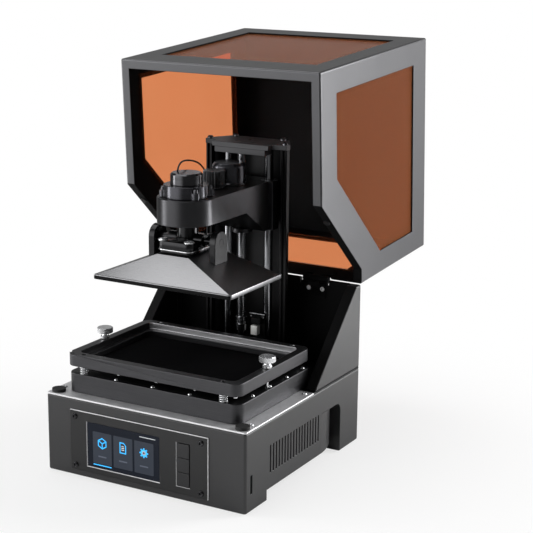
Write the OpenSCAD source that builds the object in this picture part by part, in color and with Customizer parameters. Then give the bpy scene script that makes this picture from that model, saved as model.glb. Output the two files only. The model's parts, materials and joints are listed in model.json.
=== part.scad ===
// Desktop resin printer: a base with a touch screen, a sprung resin vat over the exposure
// block, a build plate on a levelling head, a lead-screw tower and a windowed hood.
// The origin is the centre of the base's footprint on the table. +X is the printer's
// right, +Y its back and +Z up, in millimetres. The hood is drawn swung open.

/* [Deck and exposure block] */
// Width of the exposure block
block_w = 173.4; // [168:0.2:190]
// Depth of the exposure block
block_d = 124.9; // [120:0.1:140]
// Height of the exposure block
block_h = 16.9; // [14:0.1:24]
// Radius of the block's and the vat's upright corners
block_r = 9; // [6:0.5:14]
// Free deck on each side of the block
side_margin = 13.3; // [12:0.1:20]
// Free deck in front of the block
front_margin = 12.1; // [12:0.1:20]
// Thickness of the deck plate
deck_t = 1.5; // [1:0.1:3]
// Thickness of the exposure screen's glass
glass_t = 1.6; // [1:0.1:2.5]
// Width of the rim round the exposure screen
glass_margin = 15; // [12:0.5:18]

/* [Base] */
// Height of the base's walls above the table
base_h = 69.5; // [66:0.5:80]
// Thickness of the folded sheet of base and rear housing
sheet_t = 2; // [1.5:0.1:2.5]
// Radius of the base's upright corners
corner_r = 2.6; // [2.6:0.1:8]
// Gap that the rubber feet leave under the walls
foot_gap = 0.6; // [0.4:0.1:2]
// Radius of a rubber foot
foot_r = 9; // [6:0.5:10]
// Length of the base's front foot along the side
front_foot = 35.2; // [28:0.1:42]
// Length of the base's rear foot along the side
rear_foot = 37.4; // [32:0.1:42]
// Height of the arch between the feet
arch_h = 10; // [8:0.5:12]
// Depth of the scooped hand hold in each side
scoop_depth = 11.2; // [8:0.1:14]
// Length of the scoop
scoop_len = 39; // [30:0.1:42]
// Height of the scoop's roof
scoop_top = 47.3; // [40:0.1:52]
// Slots in each side vent
vent_count = 18; // [8:1:20]
// Pitch of the vent slots
vent_pitch = 5; // [4:0.25:5.5]
// Width of a vent slot
vent_slot_w = 1.8; // [1.2:0.1:2.4]
// Height of a vent slot
vent_h = 24; // [15:0.1:24.5]
// Height of the vent slots' lower ends
vent_z = 23.8; // [16:0.1:24]
// Thickness of the bottom plate
floor_t = 1.5; // [1:0.1:2.5]

/* [Front panel] */
// Width of the panel plate
panel_w = 139.7; // [136:0.1:150]
// Height of the panel plate
panel_h = 54.7; // [52:0.1:56]
// Height of the panel plate's lower edge
panel_z = 5.9; // [5:0.1:8]
// Offset of the panel plate to the left of the middle
panel_shift = 4.65; // [0:0.05:8]
// Thickness of the panel plate
panel_t = 1.2; // [0.8:0.1:2]
// Width of the touch screen
screen_w = 74.1; // [70:0.1:78]
// Height of the touch screen
screen_h = 39.9; // [36:0.1:42]
// Distance from the panel's left edge to the screen
screen_inset = 17.8; // [14:0.1:20]
// Side of a square key
key_size = 12.3; // [10:0.1:13]
// Distance from the screen's right edge to the keys
key_gap = 17.3; // [12:0.1:20]
// Travel of a key
key_travel = 0.6; // [0.3:0.1:0.8]

/* [Vat] */
// Gap between the exposure block and the vat
vat_gap = 6.8; // [6.4:0.1:10]
// Height of the vat's frame
vat_h = 10.8; // [9:0.1:16]
// Width of the vat's rim
rim_w = 8; // [7:0.1:9]
// Depth of the vat's wide upper part
rim_step_h = 5.5; // [4:0.1:7]
// Distance from the vat's side to its inner cavity
cavity_inset_x = 12.8; // [12:0.1:14]
// Distance from the vat's front to its inner cavity
cavity_inset_y = 14; // [13:0.1:15]
// Thickness of the clear film
film_t = 0.2; // [0.1:0.05:0.4]
// Thickness of the film's clamping ring
ring_t = 3; // [2.5:0.1:4]
// Travel of the vat on its springs
vat_travel = 1.5; // [0.5:0.1:1.5]
// Radius of a corner spring
spring_r = 2.2; // [1.8:0.1:2.4]
// Radius of a thumbscrew's head
thumb_r = 7; // [5:0.1:8]
// Radius of a thumbscrew's shank
thumb_shank_r = 1.5; // [1.2:0.1:2.4]

/* [Build plate] */
// Width of the build plate
plate_w = 137.2; // [125:0.1:140]
// Depth of the build plate
plate_d = 87; // [80:0.1:88]
// Height of the plate's underside above the film
plate_lift = 75.3; // [60:0.1:90]
// Thickness of the plate's edge
slab_t = 4; // [3:0.1:6]
// Height of the sloping part above the edge
hip_h = 20.5; // [18:0.1:24]
// Width of the pad on top of the slopes
pad_w = 32; // [28:0.5:36]
// Depth of the pad on top of the slopes
pad_d = 47; // [44:0.5:52]
// Distance between the outer faces of the two ears
ear_span = 67; // [64:0.5:76]
// Thickness of an ear
ear_t = 6; // [4:0.1:7]
// Radius of an ear's round top
ear_r = 10; // [8:0.1:12]
// Radius of the tilt shaft
shaft_r = 3; // [2:0.1:3.5]

/* [Head and arm] */
// Gap between the pad and the levelling head
head_gap = 1.5; // [1.2:0.1:2.5]
// Width of the levelling head
head_w = 34; // [30:0.5:40]
// Depth of the levelling head
head_d = 45; // [42:0.5:50]
// Height of the levelling head
head_h = 10; // [8:0.1:12]
// Height of the neck between head and arm
neck_h = 13.8; // [12:0.1:18]
// Width of the arm
arm_w = 51; // [46:0.5:54]
// Height of the arm
arm_h = 22.2; // [18:0.1:26]
// Height of the gusset under the arm's root
gusset_h = 21.8; // [16:0.1:24]
// Radius of the sensor's collar
collar_r = 19.6; // [18:0.1:21]
// Height of the sensor's collar
collar_h = 8; // [6:0.1:10]
// Radius of the sensor's cap
cap_r = 13.8; // [12:0.1:16]
// Height of the sensor's cap
cap_h = 12.7; // [10:0.1:14]
// Radius of the knurled plate knob
knob_r = 9.7; // [8:0.1:11]
// Radius of the arm's lock knob
lock_r = 15; // [12:0.1:15.5]
// Height of the two knobs
knob_h = 19.3; // [15:0.1:21]

/* [Tower] */
// Clear deck between the block and the tower
tower_gap = 31; // [28:0.5:36]
// Width of the tower's front
tower_w = 84; // [82:0.5:90]
// Width of the tower's back
tower_back_w = 52; // [50:0.5:58]
// Depth of the tower
tower_d = 26; // [25:0.5:32]
// Radius of a guide rod
rod_r = 4; // [3:0.1:4.5]
// Distance between the guide rods
rod_span = 41.8; // [40:0.1:44]
// Radius of the lead screw
screw_r = 4; // [3:0.1:4.5]
// Free height between arm and top bearing
headroom = 24; // [18:0.5:30]
// Thickness of the tower's top plate
top_t = 4.4; // [3:0.1:6]
// Height of the top bearing block
bearing_h = 5; // [4:0.1:8]
// Radius of the motor coupling
coupling_r = 9.5; // [8:0.1:10]
// Side of the square stepper motor
motor_w = 42.3; // [39:0.1:43]
// Length of the stepper motor
motor_h = 40; // [34:0.5:44]

/* [Rear housing and hood] */
// Height of the rear housing above the deck
wing_h = 77.4; // [70:0.1:90]
// Length of the flat top of each wing
wing_top_d = 10; // [8:0.1:16]
// Width of the wings' inward flange
wing_flange = 10; // [6:0.1:12]
// Thickness of the inner back panel
back_t = 4; // [3:0.1:5]
// Gap between the tower and the back panel
wall_gap = 6; // [5:0.1:10]
// Thickness of the hood's sheet
hood_t = 1.5; // [1.2:0.1:2]
// Width of the hood's inward flange
hood_flange = 8.5; // [6:0.1:10]
// Gap between the closed hood's slope and the wings
hood_seam = 5.3; // [4:0.1:7]
// Gap between the tower's top and the closed hood
hood_clear = 14.6; // [14:0.1:25]
// Swing of the hood from closed to open
hood_swing = 86.5; // [60:0.5:95]
// Thickness of the window sheets
window_t = 2; // [1.5:0.1:3]
// Width of the hood's frame beside the windows
window_margin = 21.5; // [18:0.1:26]
// Overlap of a window sheet behind its opening
window_lap = 5; // [3:0.1:6]
// Radius of the rubber bumpers on the deck
bumper_r = 6; // [4:0.1:6.2]
// Height of the rubber bumpers on the deck
bumper_h = 2.6; // [2:0.1:4]
// Inner end of each hinge notch, from the middle
notch_x = 39.4; // [34:0.1:44]
// Width of each hinge notch
notch_w = 30.2; // [28:0.1:34]
// Radius of a hinge barrel
barrel_r = 3.4; // [3:0.1:3.8]
// Radius of a hinge pin
hinge_pin_r = 1.5; // [1:0.1:1.8]

/* [Hidden] */
$fn = 64;
// Clearance between parts that are fitted together
fit = 0.2;
// Radial clearance of shafts that turn or slide
run = 0.05;
// Length added to cutting bodies so that they pass right through
over = 1;

base_w = block_w + 2 * side_margin;
base_d = front_margin + block_d + tower_gap + tower_d + wall_gap + back_t + sheet_t;
front_y = -base_d / 2;
back_y = base_d / 2;
in_w = base_w - 2 * sheet_t;
in_d = base_d - 2 * sheet_t;
deck_z = base_h + deck_t;
wall_back = back_y - sheet_t;
wall_front = front_y + sheet_t;

block_y0 = front_y + front_margin;
block_y1 = block_y0 + block_d;
block_z = deck_z + block_h;
light_inset = 22;
glass_x = block_w / 2 - glass_margin;
glass_y = [block_y0 + glass_margin, block_y1 - glass_margin];

arch_y0 = front_y + front_foot;
arch_y1 = back_y - rear_foot;
scoop_y0 = arch_y1 - scoop_len;
scoop_steps = 14;
scoop_corner_r = 8;
scoop_arc_r = (scoop_len * scoop_len + scoop_depth * scoop_depth) / (2 * scoop_depth);
vent_end_gap = 3.7;
flange_w = 8;
floor_z = arch_h;
flange_z = floor_z + floor_t;
floor_clear = 0.3;
shelf_z = flange_z + floor_t;
foot_inset = 18;
foot_x = base_w / 2 - foot_inset;
foot_y = base_d / 2 - foot_inset;
deck_screw_depth = 3;

// Electronics, lamp, fan and rear sockets
board_w = 46;
board_l = 90;
board_t = 1.6;
board_x = -in_w / 2 + 12;
board_y = front_y + 40;
board_post_inset = 4;
board_post_r = 2.5;
board_z = flange_z + 4;
// Left, right, front and back of each part on the board, then its height
board_parts = [[8, 24, 14, 30, 1.8], [8, 38, 44, 62, 8.4], [4, 11, 72, 79, 7.4], [14, 21, 72, 79, 7.4],
               [24, 31, 72, 79, 7.4], [34, 41, 72, 79, 7.4]];
motor_corner_r = 4;
motor_boss_proud = 0.4;
motor_socket = 8;
lamp_x = 32;
lamp_y = [block_y0 + 31, block_y1 - 30];
lamp_z = flange_z + 15;
lamp_t = 4;
lamp_fins = 8;
lamp_fin_t = 2;
lamp_led_r = 3;
lamp_led_h = 1.5;
lamp_led_pitch = [11, 18];
funnel_t = 1.5;
funnel_lap = 3;
fan_x = 50 - base_w / 2;
fan_z = 41;
fan_w = 40;
fan_d = 10;
fan_bore_r = 18.3;
fan_arm_w = 3;
fan_arm_t = 1.2;
fan_hub_r = 9;
fan_hub_d = 7;
fan_mount_r = 7;
fan_axle_r = 1;
fan_blades = 7;
fan_blade = [9, 1.2, 8.4];
fan_blade_pitch = 32;
fan_gap = 0.4;
fan_slot_pitch = 6;
fan_slot_h = 3;
fan_slot_inset = 2;
jack_x = base_w / 2 - 34;
jack_z = 26;
jack_r = 4;
jack_bore_r = 2.8;
jack_pin_r = 1;
jack_block = 12;
jack_depth = 9;
jack_proud = 0.8;
rocker_x = base_w / 2 - 58;
rocker_z = 28;
rocker_w = 11;
rocker_h = 15;
rocker_in = 2.5;
rocker_out = 3.2;
rocker_tilt = 7;
rocker_axle_r = 1;
rocker_axle_in = 0.6;
switch_wall = 1.2;
switch_gap = 0.8;
switch_depth = 6;
switch_floor = 1.5;
switch_rim = 1.5;
rocker_pivot_y = back_y - 1.5;

panel_x0 = -panel_shift - panel_w / 2;
panel_face_y = front_y - panel_t;
screen_x0 = panel_x0 + screen_inset;
screen_x1 = screen_x0 + screen_w;
screen_z0 = panel_z + 6.1;
screen_z1 = screen_z0 + screen_h;
screen_recess = 0.4;
module_d = 6;
keys_x0 = screen_x1 + key_gap;
keys_x1 = keys_x0 + key_size;
key_pitch = key_size + 0.4;
keys_z0 = panel_z + 7.3;
keys_z1 = keys_z0 + 3 * key_pitch - 0.4;
key_proud = 0.5;
key_lip = 0.9;
key_lip_t = 1;
key_board_y = wall_front + 3.8;
key_board_t = 1.6;
key_stem_r = 2;
switch_h = 1.2;
switch_r = 1.7;
module_lap = 2;
key_board_lap = 3.5;
key_post_r = 1;
card_reader_d = 18;
card_reader_w = 8;
card_reader_wall = 3;
card_y = front_y + 9.5;
card_z0 = 15.5;
card_z1 = 31.7;
card_w = 3;
small_screw_r = 1.2;
small_head_r = 2.3;
small_head_h = 1;
panel_screw_x = [panel_x0 + 5.5, panel_x0 + panel_w - 6.8];
panel_screw_z = [panel_z + 5.1, panel_z + panel_h - 5.6];
deck_screw_x = base_w / 2 - 6;
deck_screw_y = [front_y + 18.7, block_y1 - 27];
bumper_x = base_w / 2 - 7.6;
bumper_y = front_y + 8;

vat_shift = 1.4;
vat_y0 = block_y0 - vat_shift;
vat_y1 = block_y1 - vat_shift;
vat_mid_y = (vat_y0 + vat_y1) / 2;
vat_z = block_z + vat_gap;
vat_top = vat_z + vat_h;
ring_inset_x = 6.4;
ring_inset_y = 8.4;
ring_z = vat_z - film_t - ring_t;
ring_head_h = 1.5;
ring_screw_r = 0.9;
ring_side_pitch = 26;
ring_corner_r = 6;
cavity_r = 5;
rim_inner = 3;
spout_r = 1.1;
ring_head_r = 2;
ring_row_x = block_w / 2 - (cavity_inset_x + ring_inset_x) / 2;
ring_row_y = (cavity_inset_y + ring_inset_y) / 2;
pin_x = block_w / 2 - 16.7;
pin_ys = [vat_y0 + 4.1, vat_y1 - 4.1];
pin_r = 1.3;
pin_depth = 8;
pin_recess = 2;
pin_sink_r = 2;
thumb_x = block_w / 2 - 3.7;
thumb_y = vat_mid_y - 9.2;
thumb_neck_r = 4;
thumb_neck_h = 3;
thumb_head_h = 7.5;
thumb_depth = 9;
thumb_teeth = 30;
thumb_tooth = 0.35;

head_y = vat_mid_y - 2.15;
plate_z = vat_z + plate_lift;
pad_z = plate_z + slab_t + hip_h;
slope_inset = 2;
head_z = pad_z + head_gap;
head_top = head_z + head_h;
tilt_z = head_top - 1;
boss_r = 5.5;
neck_r = 9;
arm_z = head_top + neck_h;
arm_top = arm_z + arm_h;
arm_front_y = head_y - 1;
level_screw_x = head_w / 2 - 4;
level_screw_y = head_d / 2 - 4.5;
level_screw_r = 1.5;
level_head_r = 2.6;
level_head_h = 2.6;
shaft_head_r = 4.5;
shaft_head_t = 1.6;

tower_y0 = block_y1 + tower_gap;
tower_y1 = tower_y0 + tower_d;
tower_top = arm_top + headroom + bearing_h;
tower_flange = 6;
tower_wall = 3;
groove_w = 2.5;
groove_d = 2;
groove_x = (tower_w - tower_flange) / 2;
rod_y = tower_y0 + 5.5;
rod_x = rod_span / 2;
screw_y = tower_y0 - 6;
bearing_front = screw_y - 5.5;
bearing_x = 26;
top_slot_x = 11;
top_slot_w = 1.8;
top_screw_r = 1.5;
top_head_h = 2.2;
top_screw_places = [[-tower_w / 2 + 3, tower_y0 + 2.6], [tower_w / 2 - 3, tower_y0 + 2.6],
                    [-tower_back_w / 2 + 1.5, tower_y1 - 1.6], [tower_back_w / 2 - 1.5, tower_y1 - 1.6]];
// Right half of the top plate's outline, from front to back
top_half = [[bearing_x + 3, bearing_front + 0.5], [bearing_x + 3, tower_y0 - 3], [tower_w / 2, tower_y0 - 1],
            [tower_w / 2, tower_y0 + 6], [tower_back_w / 2 + 3, tower_y1 + 2]];
carriage_z = arm_z - gusset_h;
carriage_y0 = tower_y0 - 3;
carriage_x = rod_x + 8.7;
carriage_y1 = rod_y + 9;
carriage_cut = 6.5;
gusset_slope = 1.5;
bush_r = 7.5;
bush_wall = 1;
bush_len = 18;
nut_r = 5.4;
nut_flange_r = 9;
nut_flange_t = 3.5;
nut_len = 16;
nut_bore_r = nut_r + run;
coupling_z = deck_z + 27;
coupling_neck_h = 4;
coupling_h = 13.4;
coupling_neck = 2.5;
screw_z = coupling_z + coupling_neck_h + 4;
switch_x0 = coupling_r + 1.2;
endstop_w = 11;
endstop_h = 47;
endstop_foot_t = 1.5;
// Depth, lower end and upper end of the end stop's connector and sensor
endstop_parts = [[7, 29, 39], [5, 40, 46]];
motor_shaft_r = 2.5;
motor_boss_r = 11;
knob_stud_r = 3;
knob_stud_h = 10;
knob_teeth = 26;
knob_tooth = 0.7;
lock_edge_h = 3;
lock_edge = 2;
collar_lobes = [35, 145, 215, 325];
lobe_r = 3.6;
lobe_screw_r = 2.4;
lobe_screw_h = 3.5;
cap_edge = 1.5;
sensor_y = arm_front_y - 0.5;
lock_y = sensor_y + 69.5;
plate_knob_y = lock_y - lock_r - knob_r - 0.8;
collar_top = arm_top + collar_h;
lobe_top = collar_top - 2;
cap_top = collar_top + cap_h;

wing_z = deck_z + wing_h;
hinge_mid = notch_x + notch_w / 2;
hinge_half = 12.6;
hinge_screw_x = 7.3;
hinge_screw_r = 1.8;
hinge_screw_h = 1.1;
knuckle_half = 5.2;
knuckle_gap = 0.3;
leaf_t = 1.2;
leaf_h = 12;
web_h = 2.6;
web_rise = 0.4;
wing_diag = back_y - wing_top_d - wing_z;
notch_z = wing_z - 5;
back_top = wing_z + 0.9;
hinge_y = back_y - 1.5;
hinge_z = wing_z;
hood_notch_z = hinge_z + barrel_r + 1.8;
hood_y1 = back_y - 2;
hood_z0 = deck_z + bumper_h + fit;
hood_z1 = tower_top + top_t + hood_clear;
hood_rear_z = wing_z + 1.6;
hood_diag = wing_diag - hood_seam * sqrt(2);
// Margins of the side windows to the hood's front, foot, back, top and slope
side_margins = [22, 29.2, 21, 29, 46.5];
window_y = [front_y + side_margins[0], hood_y1 - side_margins[2]];
window_z = [hood_z0 + side_margins[1], hood_z1 - side_margins[3]];
window_diag = hood_diag - side_margins[4];
side_window = [[window_y[0], window_z[0]], [window_z[0] + window_diag, window_z[0]],
               [window_y[1], window_y[1] - window_diag], [window_y[1], window_z[1]],
               [window_y[0], window_z[1]]];
front_window_z = [hood_z0 + 33.7, hood_z1 - 27];
rear_window_x = base_w / 2 - 30;
rear_window_z = [hood_rear_z + 31, hood_z1 - 32];
mouth_rim = 4;
mouth_diag = 12;
hood_bumper_r = 3;
hood_bumper_in = [5, 19];

// Points along the sensor's lead, from the cap to the tower's groove
lead_r = 0.75;
lead_sides = 8;
lead_sub = 4;
lead_run = tower_y0 - sensor_y;
lead_points = [[-9, 0, 0.2], [-10, 3, 3], [-12, 9, 5], [-16, 20, 5], [-22, 38, 2.5],
               [-28, 58, -2], [-groove_x + 5, lead_run - 22.5, -8], [-groove_x + 1, lead_run - 8.5, -16],
               [-groove_x, lead_run - 0.5, -25], [-groove_x, lead_run + 1, -36]];

// ---- Helpers ----

// Rectangle between two corners, with round corners
module rounded(x0, x1, y0, y1, r) {
  translate([x0 + r, y0]) square([x1 - x0 - 2 * r, y1 - y0]);
  translate([x0, y0 + r]) square([x1 - x0, y1 - y0 - 2 * r]);
  for (x = [x0 + r, x1 - r], y = [y0 + r, y1 - r]) translate([x, y]) circle(r);
}

// Upright prism on a rounded rectangle
module block(x0, x1, y0, y1, z0, z1, r) {
  translate([0, 0, z0]) linear_extrude(z1 - z0) rounded(x0, x1, y0, y1, r);
}

// Plain box between two corners
module box(x0, x1, y0, y1, z0, z1) {
  translate([x0, y0, z0]) cube([x1 - x0, y1 - y0, z1 - z0]);
}

// Upright cylinder between two heights
module post(x, y, z0, z1, r) {
  translate([x, y, z0]) cylinder(h = z1 - z0, r = r);
}

// Cylinder along X between two places
module axle(x0, x1, y, z, r) {
  translate([x0, y, z]) rotate([0, 90, 0]) cylinder(h = x1 - x0, r = r);
}

// Cylinder along Y between two places
module peg(x, z, y0, y1, r) {
  translate([x, y0, z]) rotate([-90, 0, 0]) cylinder(h = y1 - y0, r = r);
}

// Outline in the YZ plane, drawn out along X
module side_prism(points, x0, x1) {
  translate([x0, 0, 0]) rotate([90, 0, 90]) linear_extrude(x1 - x0) polygon(points);
}

// The same thing on the right and on the left
module both_sides() {
  children();
  mirror([1, 0, 0]) children();
}

// Round knob with straight knurling
module knurled(r, h, count, depth) {
  points = [for (i = [0:2 * count - 1])
            let (a = i * 180 / count, q = i % 2 == 0 ? r : r - depth) [q * cos(a), q * sin(a)]];
  linear_extrude(h) polygon(points);
}

// Moves what is drawn in the closed hood's place to the open hood's place
module swung_open() {
  translate([0, hinge_y, hinge_z]) rotate([-hood_swing, 0, 0]) translate([0, -hinge_y, -hinge_z])
    children();
}

// ---- Base ----

// Depth of the scoop at a place along the side
function scoop_at(y) = scoop_arc_r - sqrt(scoop_arc_r * scoop_arc_r - pow(y - scoop_y0, 2));

// Scooped hand hold in the right side, grown by a wall's thickness
module scoop(grow) {
  plan = concat([for (i = [0:scoop_steps]) let (y = scoop_y0 + scoop_len * i / scoop_steps)
                 [base_w / 2 - scoop_at(y) - grow, y]],
                [[base_w / 2 - scoop_depth - grow, arch_y1 + grow],
                 [base_w / 2 + over, arch_y1 + grow], [base_w / 2 + over, scoop_y0]]);
  top = scoop_top + grow;
  r = scoop_corner_r;
  intersection() {
    translate([0, 0, -over]) linear_extrude(top + 2 * over) polygon(plan);
    union() {
      box(0, base_w, scoop_y0 - over, arch_y1 + grow, -over, top - r);
      box(0, base_w, scoop_y0 - over, arch_y1 + grow - r, -over, top);
      axle(0, base_w, arch_y1 + grow - r, top - r, r);
    }
  }
}

// Space inside the base's sheet, drawn between two heights
module base_cavity(z0, z1, gap) {
  edge = sheet_t + gap;
  difference() {
    block(-base_w / 2 + edge, base_w / 2 - edge, front_y + edge, back_y - edge, z0, z1, corner_r - sheet_t);
    both_sides() scoop(edge);
  }
}

module vent_slots() {
  for (i = [0:vent_count - 1]) {
    y = scoop_y0 - vent_end_gap - i * vent_pitch;
    box(in_w / 2 - over, base_w / 2 + over, y - vent_slot_w / 2, y + vent_slot_w / 2,
        vent_z, vent_z + vent_h);
  }
}

module base_shell() color("#3a3b3d") difference() {
  union() {
    difference() {
      block(-base_w / 2, base_w / 2, front_y, back_y, foot_gap, base_h, corner_r);
      both_sides() scoop(0);
      base_cavity(-over, base_h + over, 0);
    }
    difference() {
      base_cavity(flange_z, shelf_z, 0);
      box(-in_w / 2 + flange_w, in_w / 2 - flange_w, wall_front + flange_w, wall_back - flange_w,
          flange_z - over, shelf_z + over);
    }
  }
  box(-base_w, base_w, arch_y0, arch_y1, -over, arch_h);
  both_sides() vent_slots();
  box(screen_x0 - fit, screen_x1 + fit, front_y - over, wall_front + over, screen_z0 - fit, screen_z1 + fit);
  box(keys_x0 - key_lip - fit, keys_x1 + key_lip + fit, front_y - over, wall_front + over,
      keys_z0 - key_lip - fit, keys_z1 + key_lip + fit);
  for (x = panel_screw_x, z = panel_screw_z)
    peg(x, z, front_y - over, wall_front + over, small_screw_r + run);
  box(in_w / 2 - over, base_w / 2 + over, card_y - card_w / 2, card_y + card_w / 2, card_z0, card_z1);
  for (i = [-2:2]) {
    z = fan_z + i * fan_slot_pitch;
    reach = sqrt(fan_bore_r * fan_bore_r - pow(i * fan_slot_pitch, 2)) - fan_slot_inset;
    box(fan_x - reach, fan_x + reach, wall_back - over, back_y + over,
        z - fan_slot_h / 2, z + fan_slot_h / 2);
  }
  peg(jack_x, jack_z, wall_back - over, back_y + over, jack_r + fit);
  switch_opening(fit, wall_back - over, back_y + over);
}

// Outline of the switch housing's body, between two depths
module switch_opening(gap, y0, y1) {
  x = rocker_w / 2 + switch_gap + switch_wall + gap;
  z = rocker_h / 2 + switch_gap + switch_wall + gap;
  box(rocker_x - x, rocker_x + x, y0, y1, rocker_z - z, rocker_z + z);
}

module bottom_plate() color("#2c2d2f") base_cavity(floor_z, flange_z, floor_clear);

module rubber_pads() color("#17181a") {
  for (x = [-foot_x, foot_x], y = [-foot_y, foot_y]) post(x, y, 0, floor_z, foot_r);
  post(0, 0, 0, floor_z, foot_r);
  for (x = [-bumper_x, bumper_x]) post(x, bumper_y, deck_z, deck_z + bumper_h, bumper_r);
}

module deck_plate() color("#d9dadb") difference() {
  block(-base_w / 2, base_w / 2, front_y, back_y, base_h, deck_z, corner_r);
  box(-block_w / 2 + light_inset, block_w / 2 - light_inset, block_y0 + light_inset,
      block_y1 - light_inset, base_h - over, deck_z + over);
  post(0, screw_y, base_h - over, deck_z + over, motor_boss_r + fit);
  for (x = [-deck_screw_x, deck_screw_x], y = deck_screw_y)
    post(x, y, base_h - over, deck_z + over, small_screw_r + run);
}

module cover_screws() color("#2a2b2d") {
  for (x = panel_screw_x, z = panel_screw_z) {
    peg(x, z, panel_face_y - small_head_h, panel_face_y, small_head_r);
    peg(x, z, panel_face_y, wall_front, small_screw_r);
  }
  for (x = [-deck_screw_x, deck_screw_x], y = deck_screw_y) {
    post(x, y, deck_z, deck_z + small_head_h, small_head_r);
    post(x, y, base_h - deck_screw_depth, deck_z, small_screw_r);
  }
}

module panel_plate() color("#1f2022") difference() {
  translate([0, front_y, 0]) rotate([90, 0, 0]) linear_extrude(panel_t)
    rounded(panel_x0, panel_x0 + panel_w, panel_z, panel_z + panel_h, 1);
  box(screen_x0, screen_x1, panel_face_y - over, front_y + over, screen_z0, screen_z1);
  box(keys_x0 - fit, keys_x1 + fit, panel_face_y - over, front_y + over, keys_z0 - fit, keys_z1 + fit);
  for (x = panel_screw_x, z = panel_screw_z)
    peg(x, z, panel_face_y - over, front_y + over, small_screw_r + run);
}

module touch_screen() color("#2c3442")
  box(screen_x0 + fit / 2, screen_x1 - fit / 2, panel_face_y + screen_recess, wall_front,
      screen_z0 + fit / 2, screen_z1 - fit / 2);

module panel_boards() color("#1d4a35") {
  low = shelf_z + 2 * fit;
  box(screen_x0 - module_lap, screen_x1 + module_lap, wall_front, wall_front + module_d,
      low, screen_z1 + module_lap);
  x = [keys_x0 - key_board_lap, keys_x1 + key_board_lap];
  z = [low, keys_z1 + key_board_lap];
  box(x[0], x[1], key_board_y, key_board_y + key_board_t, z[0], z[1]);
  for (x = [x[0] + key_post_r, x[1] - key_post_r], z = [z[0] + 3 * key_post_r, z[1] - 3 * key_post_r])
    peg(x, z, wall_front, key_board_y, key_post_r);
  for (i = [0:2])
    peg((keys_x0 + keys_x1) / 2, key_z(i) + key_size / 2, key_board_y - switch_h, key_board_y, switch_r);
  difference() {
    box(in_w / 2 - card_reader_d, in_w / 2, card_y - card_reader_w / 2, card_y + card_reader_w / 2,
        shelf_z, card_z1 + card_reader_wall);
    box(in_w / 2 - card_reader_d + card_reader_wall, in_w / 2 + over, card_y - card_w / 2,
        card_y + card_w / 2, card_z0, card_z1);
  }
}

// Height of the lower edge of a key, counted from the bottom
function key_z(i) = keys_z0 + i * key_pitch;

module key(i) {
  z = key_z(i);
  lip_low = i == 0 ? key_lip : 0;
  lip_high = i == 2 ? key_lip : 0;
  color("#26272a") {
    box(keys_x0, keys_x1, panel_face_y - key_proud, front_y + fit, z, z + key_size);
    box(keys_x0 - key_lip, keys_x1 + key_lip, front_y + fit, front_y + fit + key_lip_t,
        z - lip_low, z + key_size + lip_high);
    peg((keys_x0 + keys_x1) / 2, z + key_size / 2, front_y + fit + key_lip_t,
        key_board_y - switch_h - key_travel - fit, key_stem_r);
  }
}

module key_top() key(2);
module key_middle() key(1);
module key_bottom() key(0);

module mainboard() color("#1d4a35") {
  top = board_z + board_t;
  box(board_x, board_x + board_w, board_y, board_y + board_l, board_z, top);
  for (x = [board_post_inset, board_w - board_post_inset], y = [board_post_inset, board_l - board_post_inset])
    post(board_x + x, board_y + y, flange_z, board_z, board_post_r);
  for (p = board_parts)
    box(board_x + p[0], board_x + p[1], board_y + p[2], board_y + p[3], top, top + p[4]);
}

module stepper_motor() color("#8d8f92") difference() {
  union() {
    block(-motor_w / 2, motor_w / 2, screw_y - motor_w / 2, screw_y + motor_w / 2, base_h - motor_h, base_h,
          motor_corner_r);
    post(0, screw_y, base_h - over, deck_z + motor_boss_proud, motor_boss_r);
  }
  post(0, screw_y, base_h - motor_h + motor_socket, deck_z + over, motor_shaft_r + run);
}

module uv_lamp() color("#b9bbbe") {
  box(-lamp_x, lamp_x, lamp_y[0], lamp_y[1], lamp_z - lamp_t, lamp_z);
  for (i = [0:lamp_fins - 1]) {
    x = -lamp_x + i * (2 * lamp_x - lamp_fin_t) / (lamp_fins - 1);
    box(x, x + lamp_fin_t, lamp_y[0], lamp_y[1], flange_z, lamp_z - lamp_t);
  }
  for (i = [-2:2], j = [-1:1])
    post(i * lamp_led_pitch[0], (lamp_y[0] + lamp_y[1]) / 2 + j * lamp_led_pitch[1],
         lamp_z, lamp_z + lamp_led_h, lamp_led_r);
}

module reflector_solid(gap, over_z) {
  hull() {
    box(-lamp_x + gap, lamp_x - gap, lamp_y[0] + gap, lamp_y[1] - gap, lamp_z - over_z, lamp_z + 0.1);
    edge = light_inset - funnel_lap + gap;
    box(-block_w / 2 + edge, block_w / 2 - edge, block_y0 + edge, block_y1 - edge,
        base_h - 0.1, base_h + over_z);
  }
}

module lamp_reflector() color("#c8cacc") difference() {
  reflector_solid(0, 0);
  reflector_solid(funnel_t, over);
}

module fan_frame() color("#1b1c1e") {
  y1 = wall_back;
  y0 = y1 - fan_d;
  difference() {
    box(fan_x - fan_w / 2, fan_x + fan_w / 2, y0, y1, fan_z - fan_w / 2, fan_z + fan_w / 2);
    peg(fan_x, fan_z, y0 - over, y1 + over, fan_bore_r);
  }
  difference() {
    box(fan_x - fan_bore_r - over, fan_x + fan_bore_r + over, y0, y0 + fan_arm_t,
        fan_z - fan_arm_w / 2, fan_z + fan_arm_w / 2);
    peg(fan_x, fan_z, y0 - over, y0 + fan_arm_t + over, fan_mount_r - over);
  }
  peg(fan_x, fan_z, y0, y0 + fan_arm_t, fan_mount_r);
  peg(fan_x, fan_z, y0 + fan_arm_t / 2, y0 + fan_arm_t + fan_gap + fan_hub_d - over, fan_axle_r);
}

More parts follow.
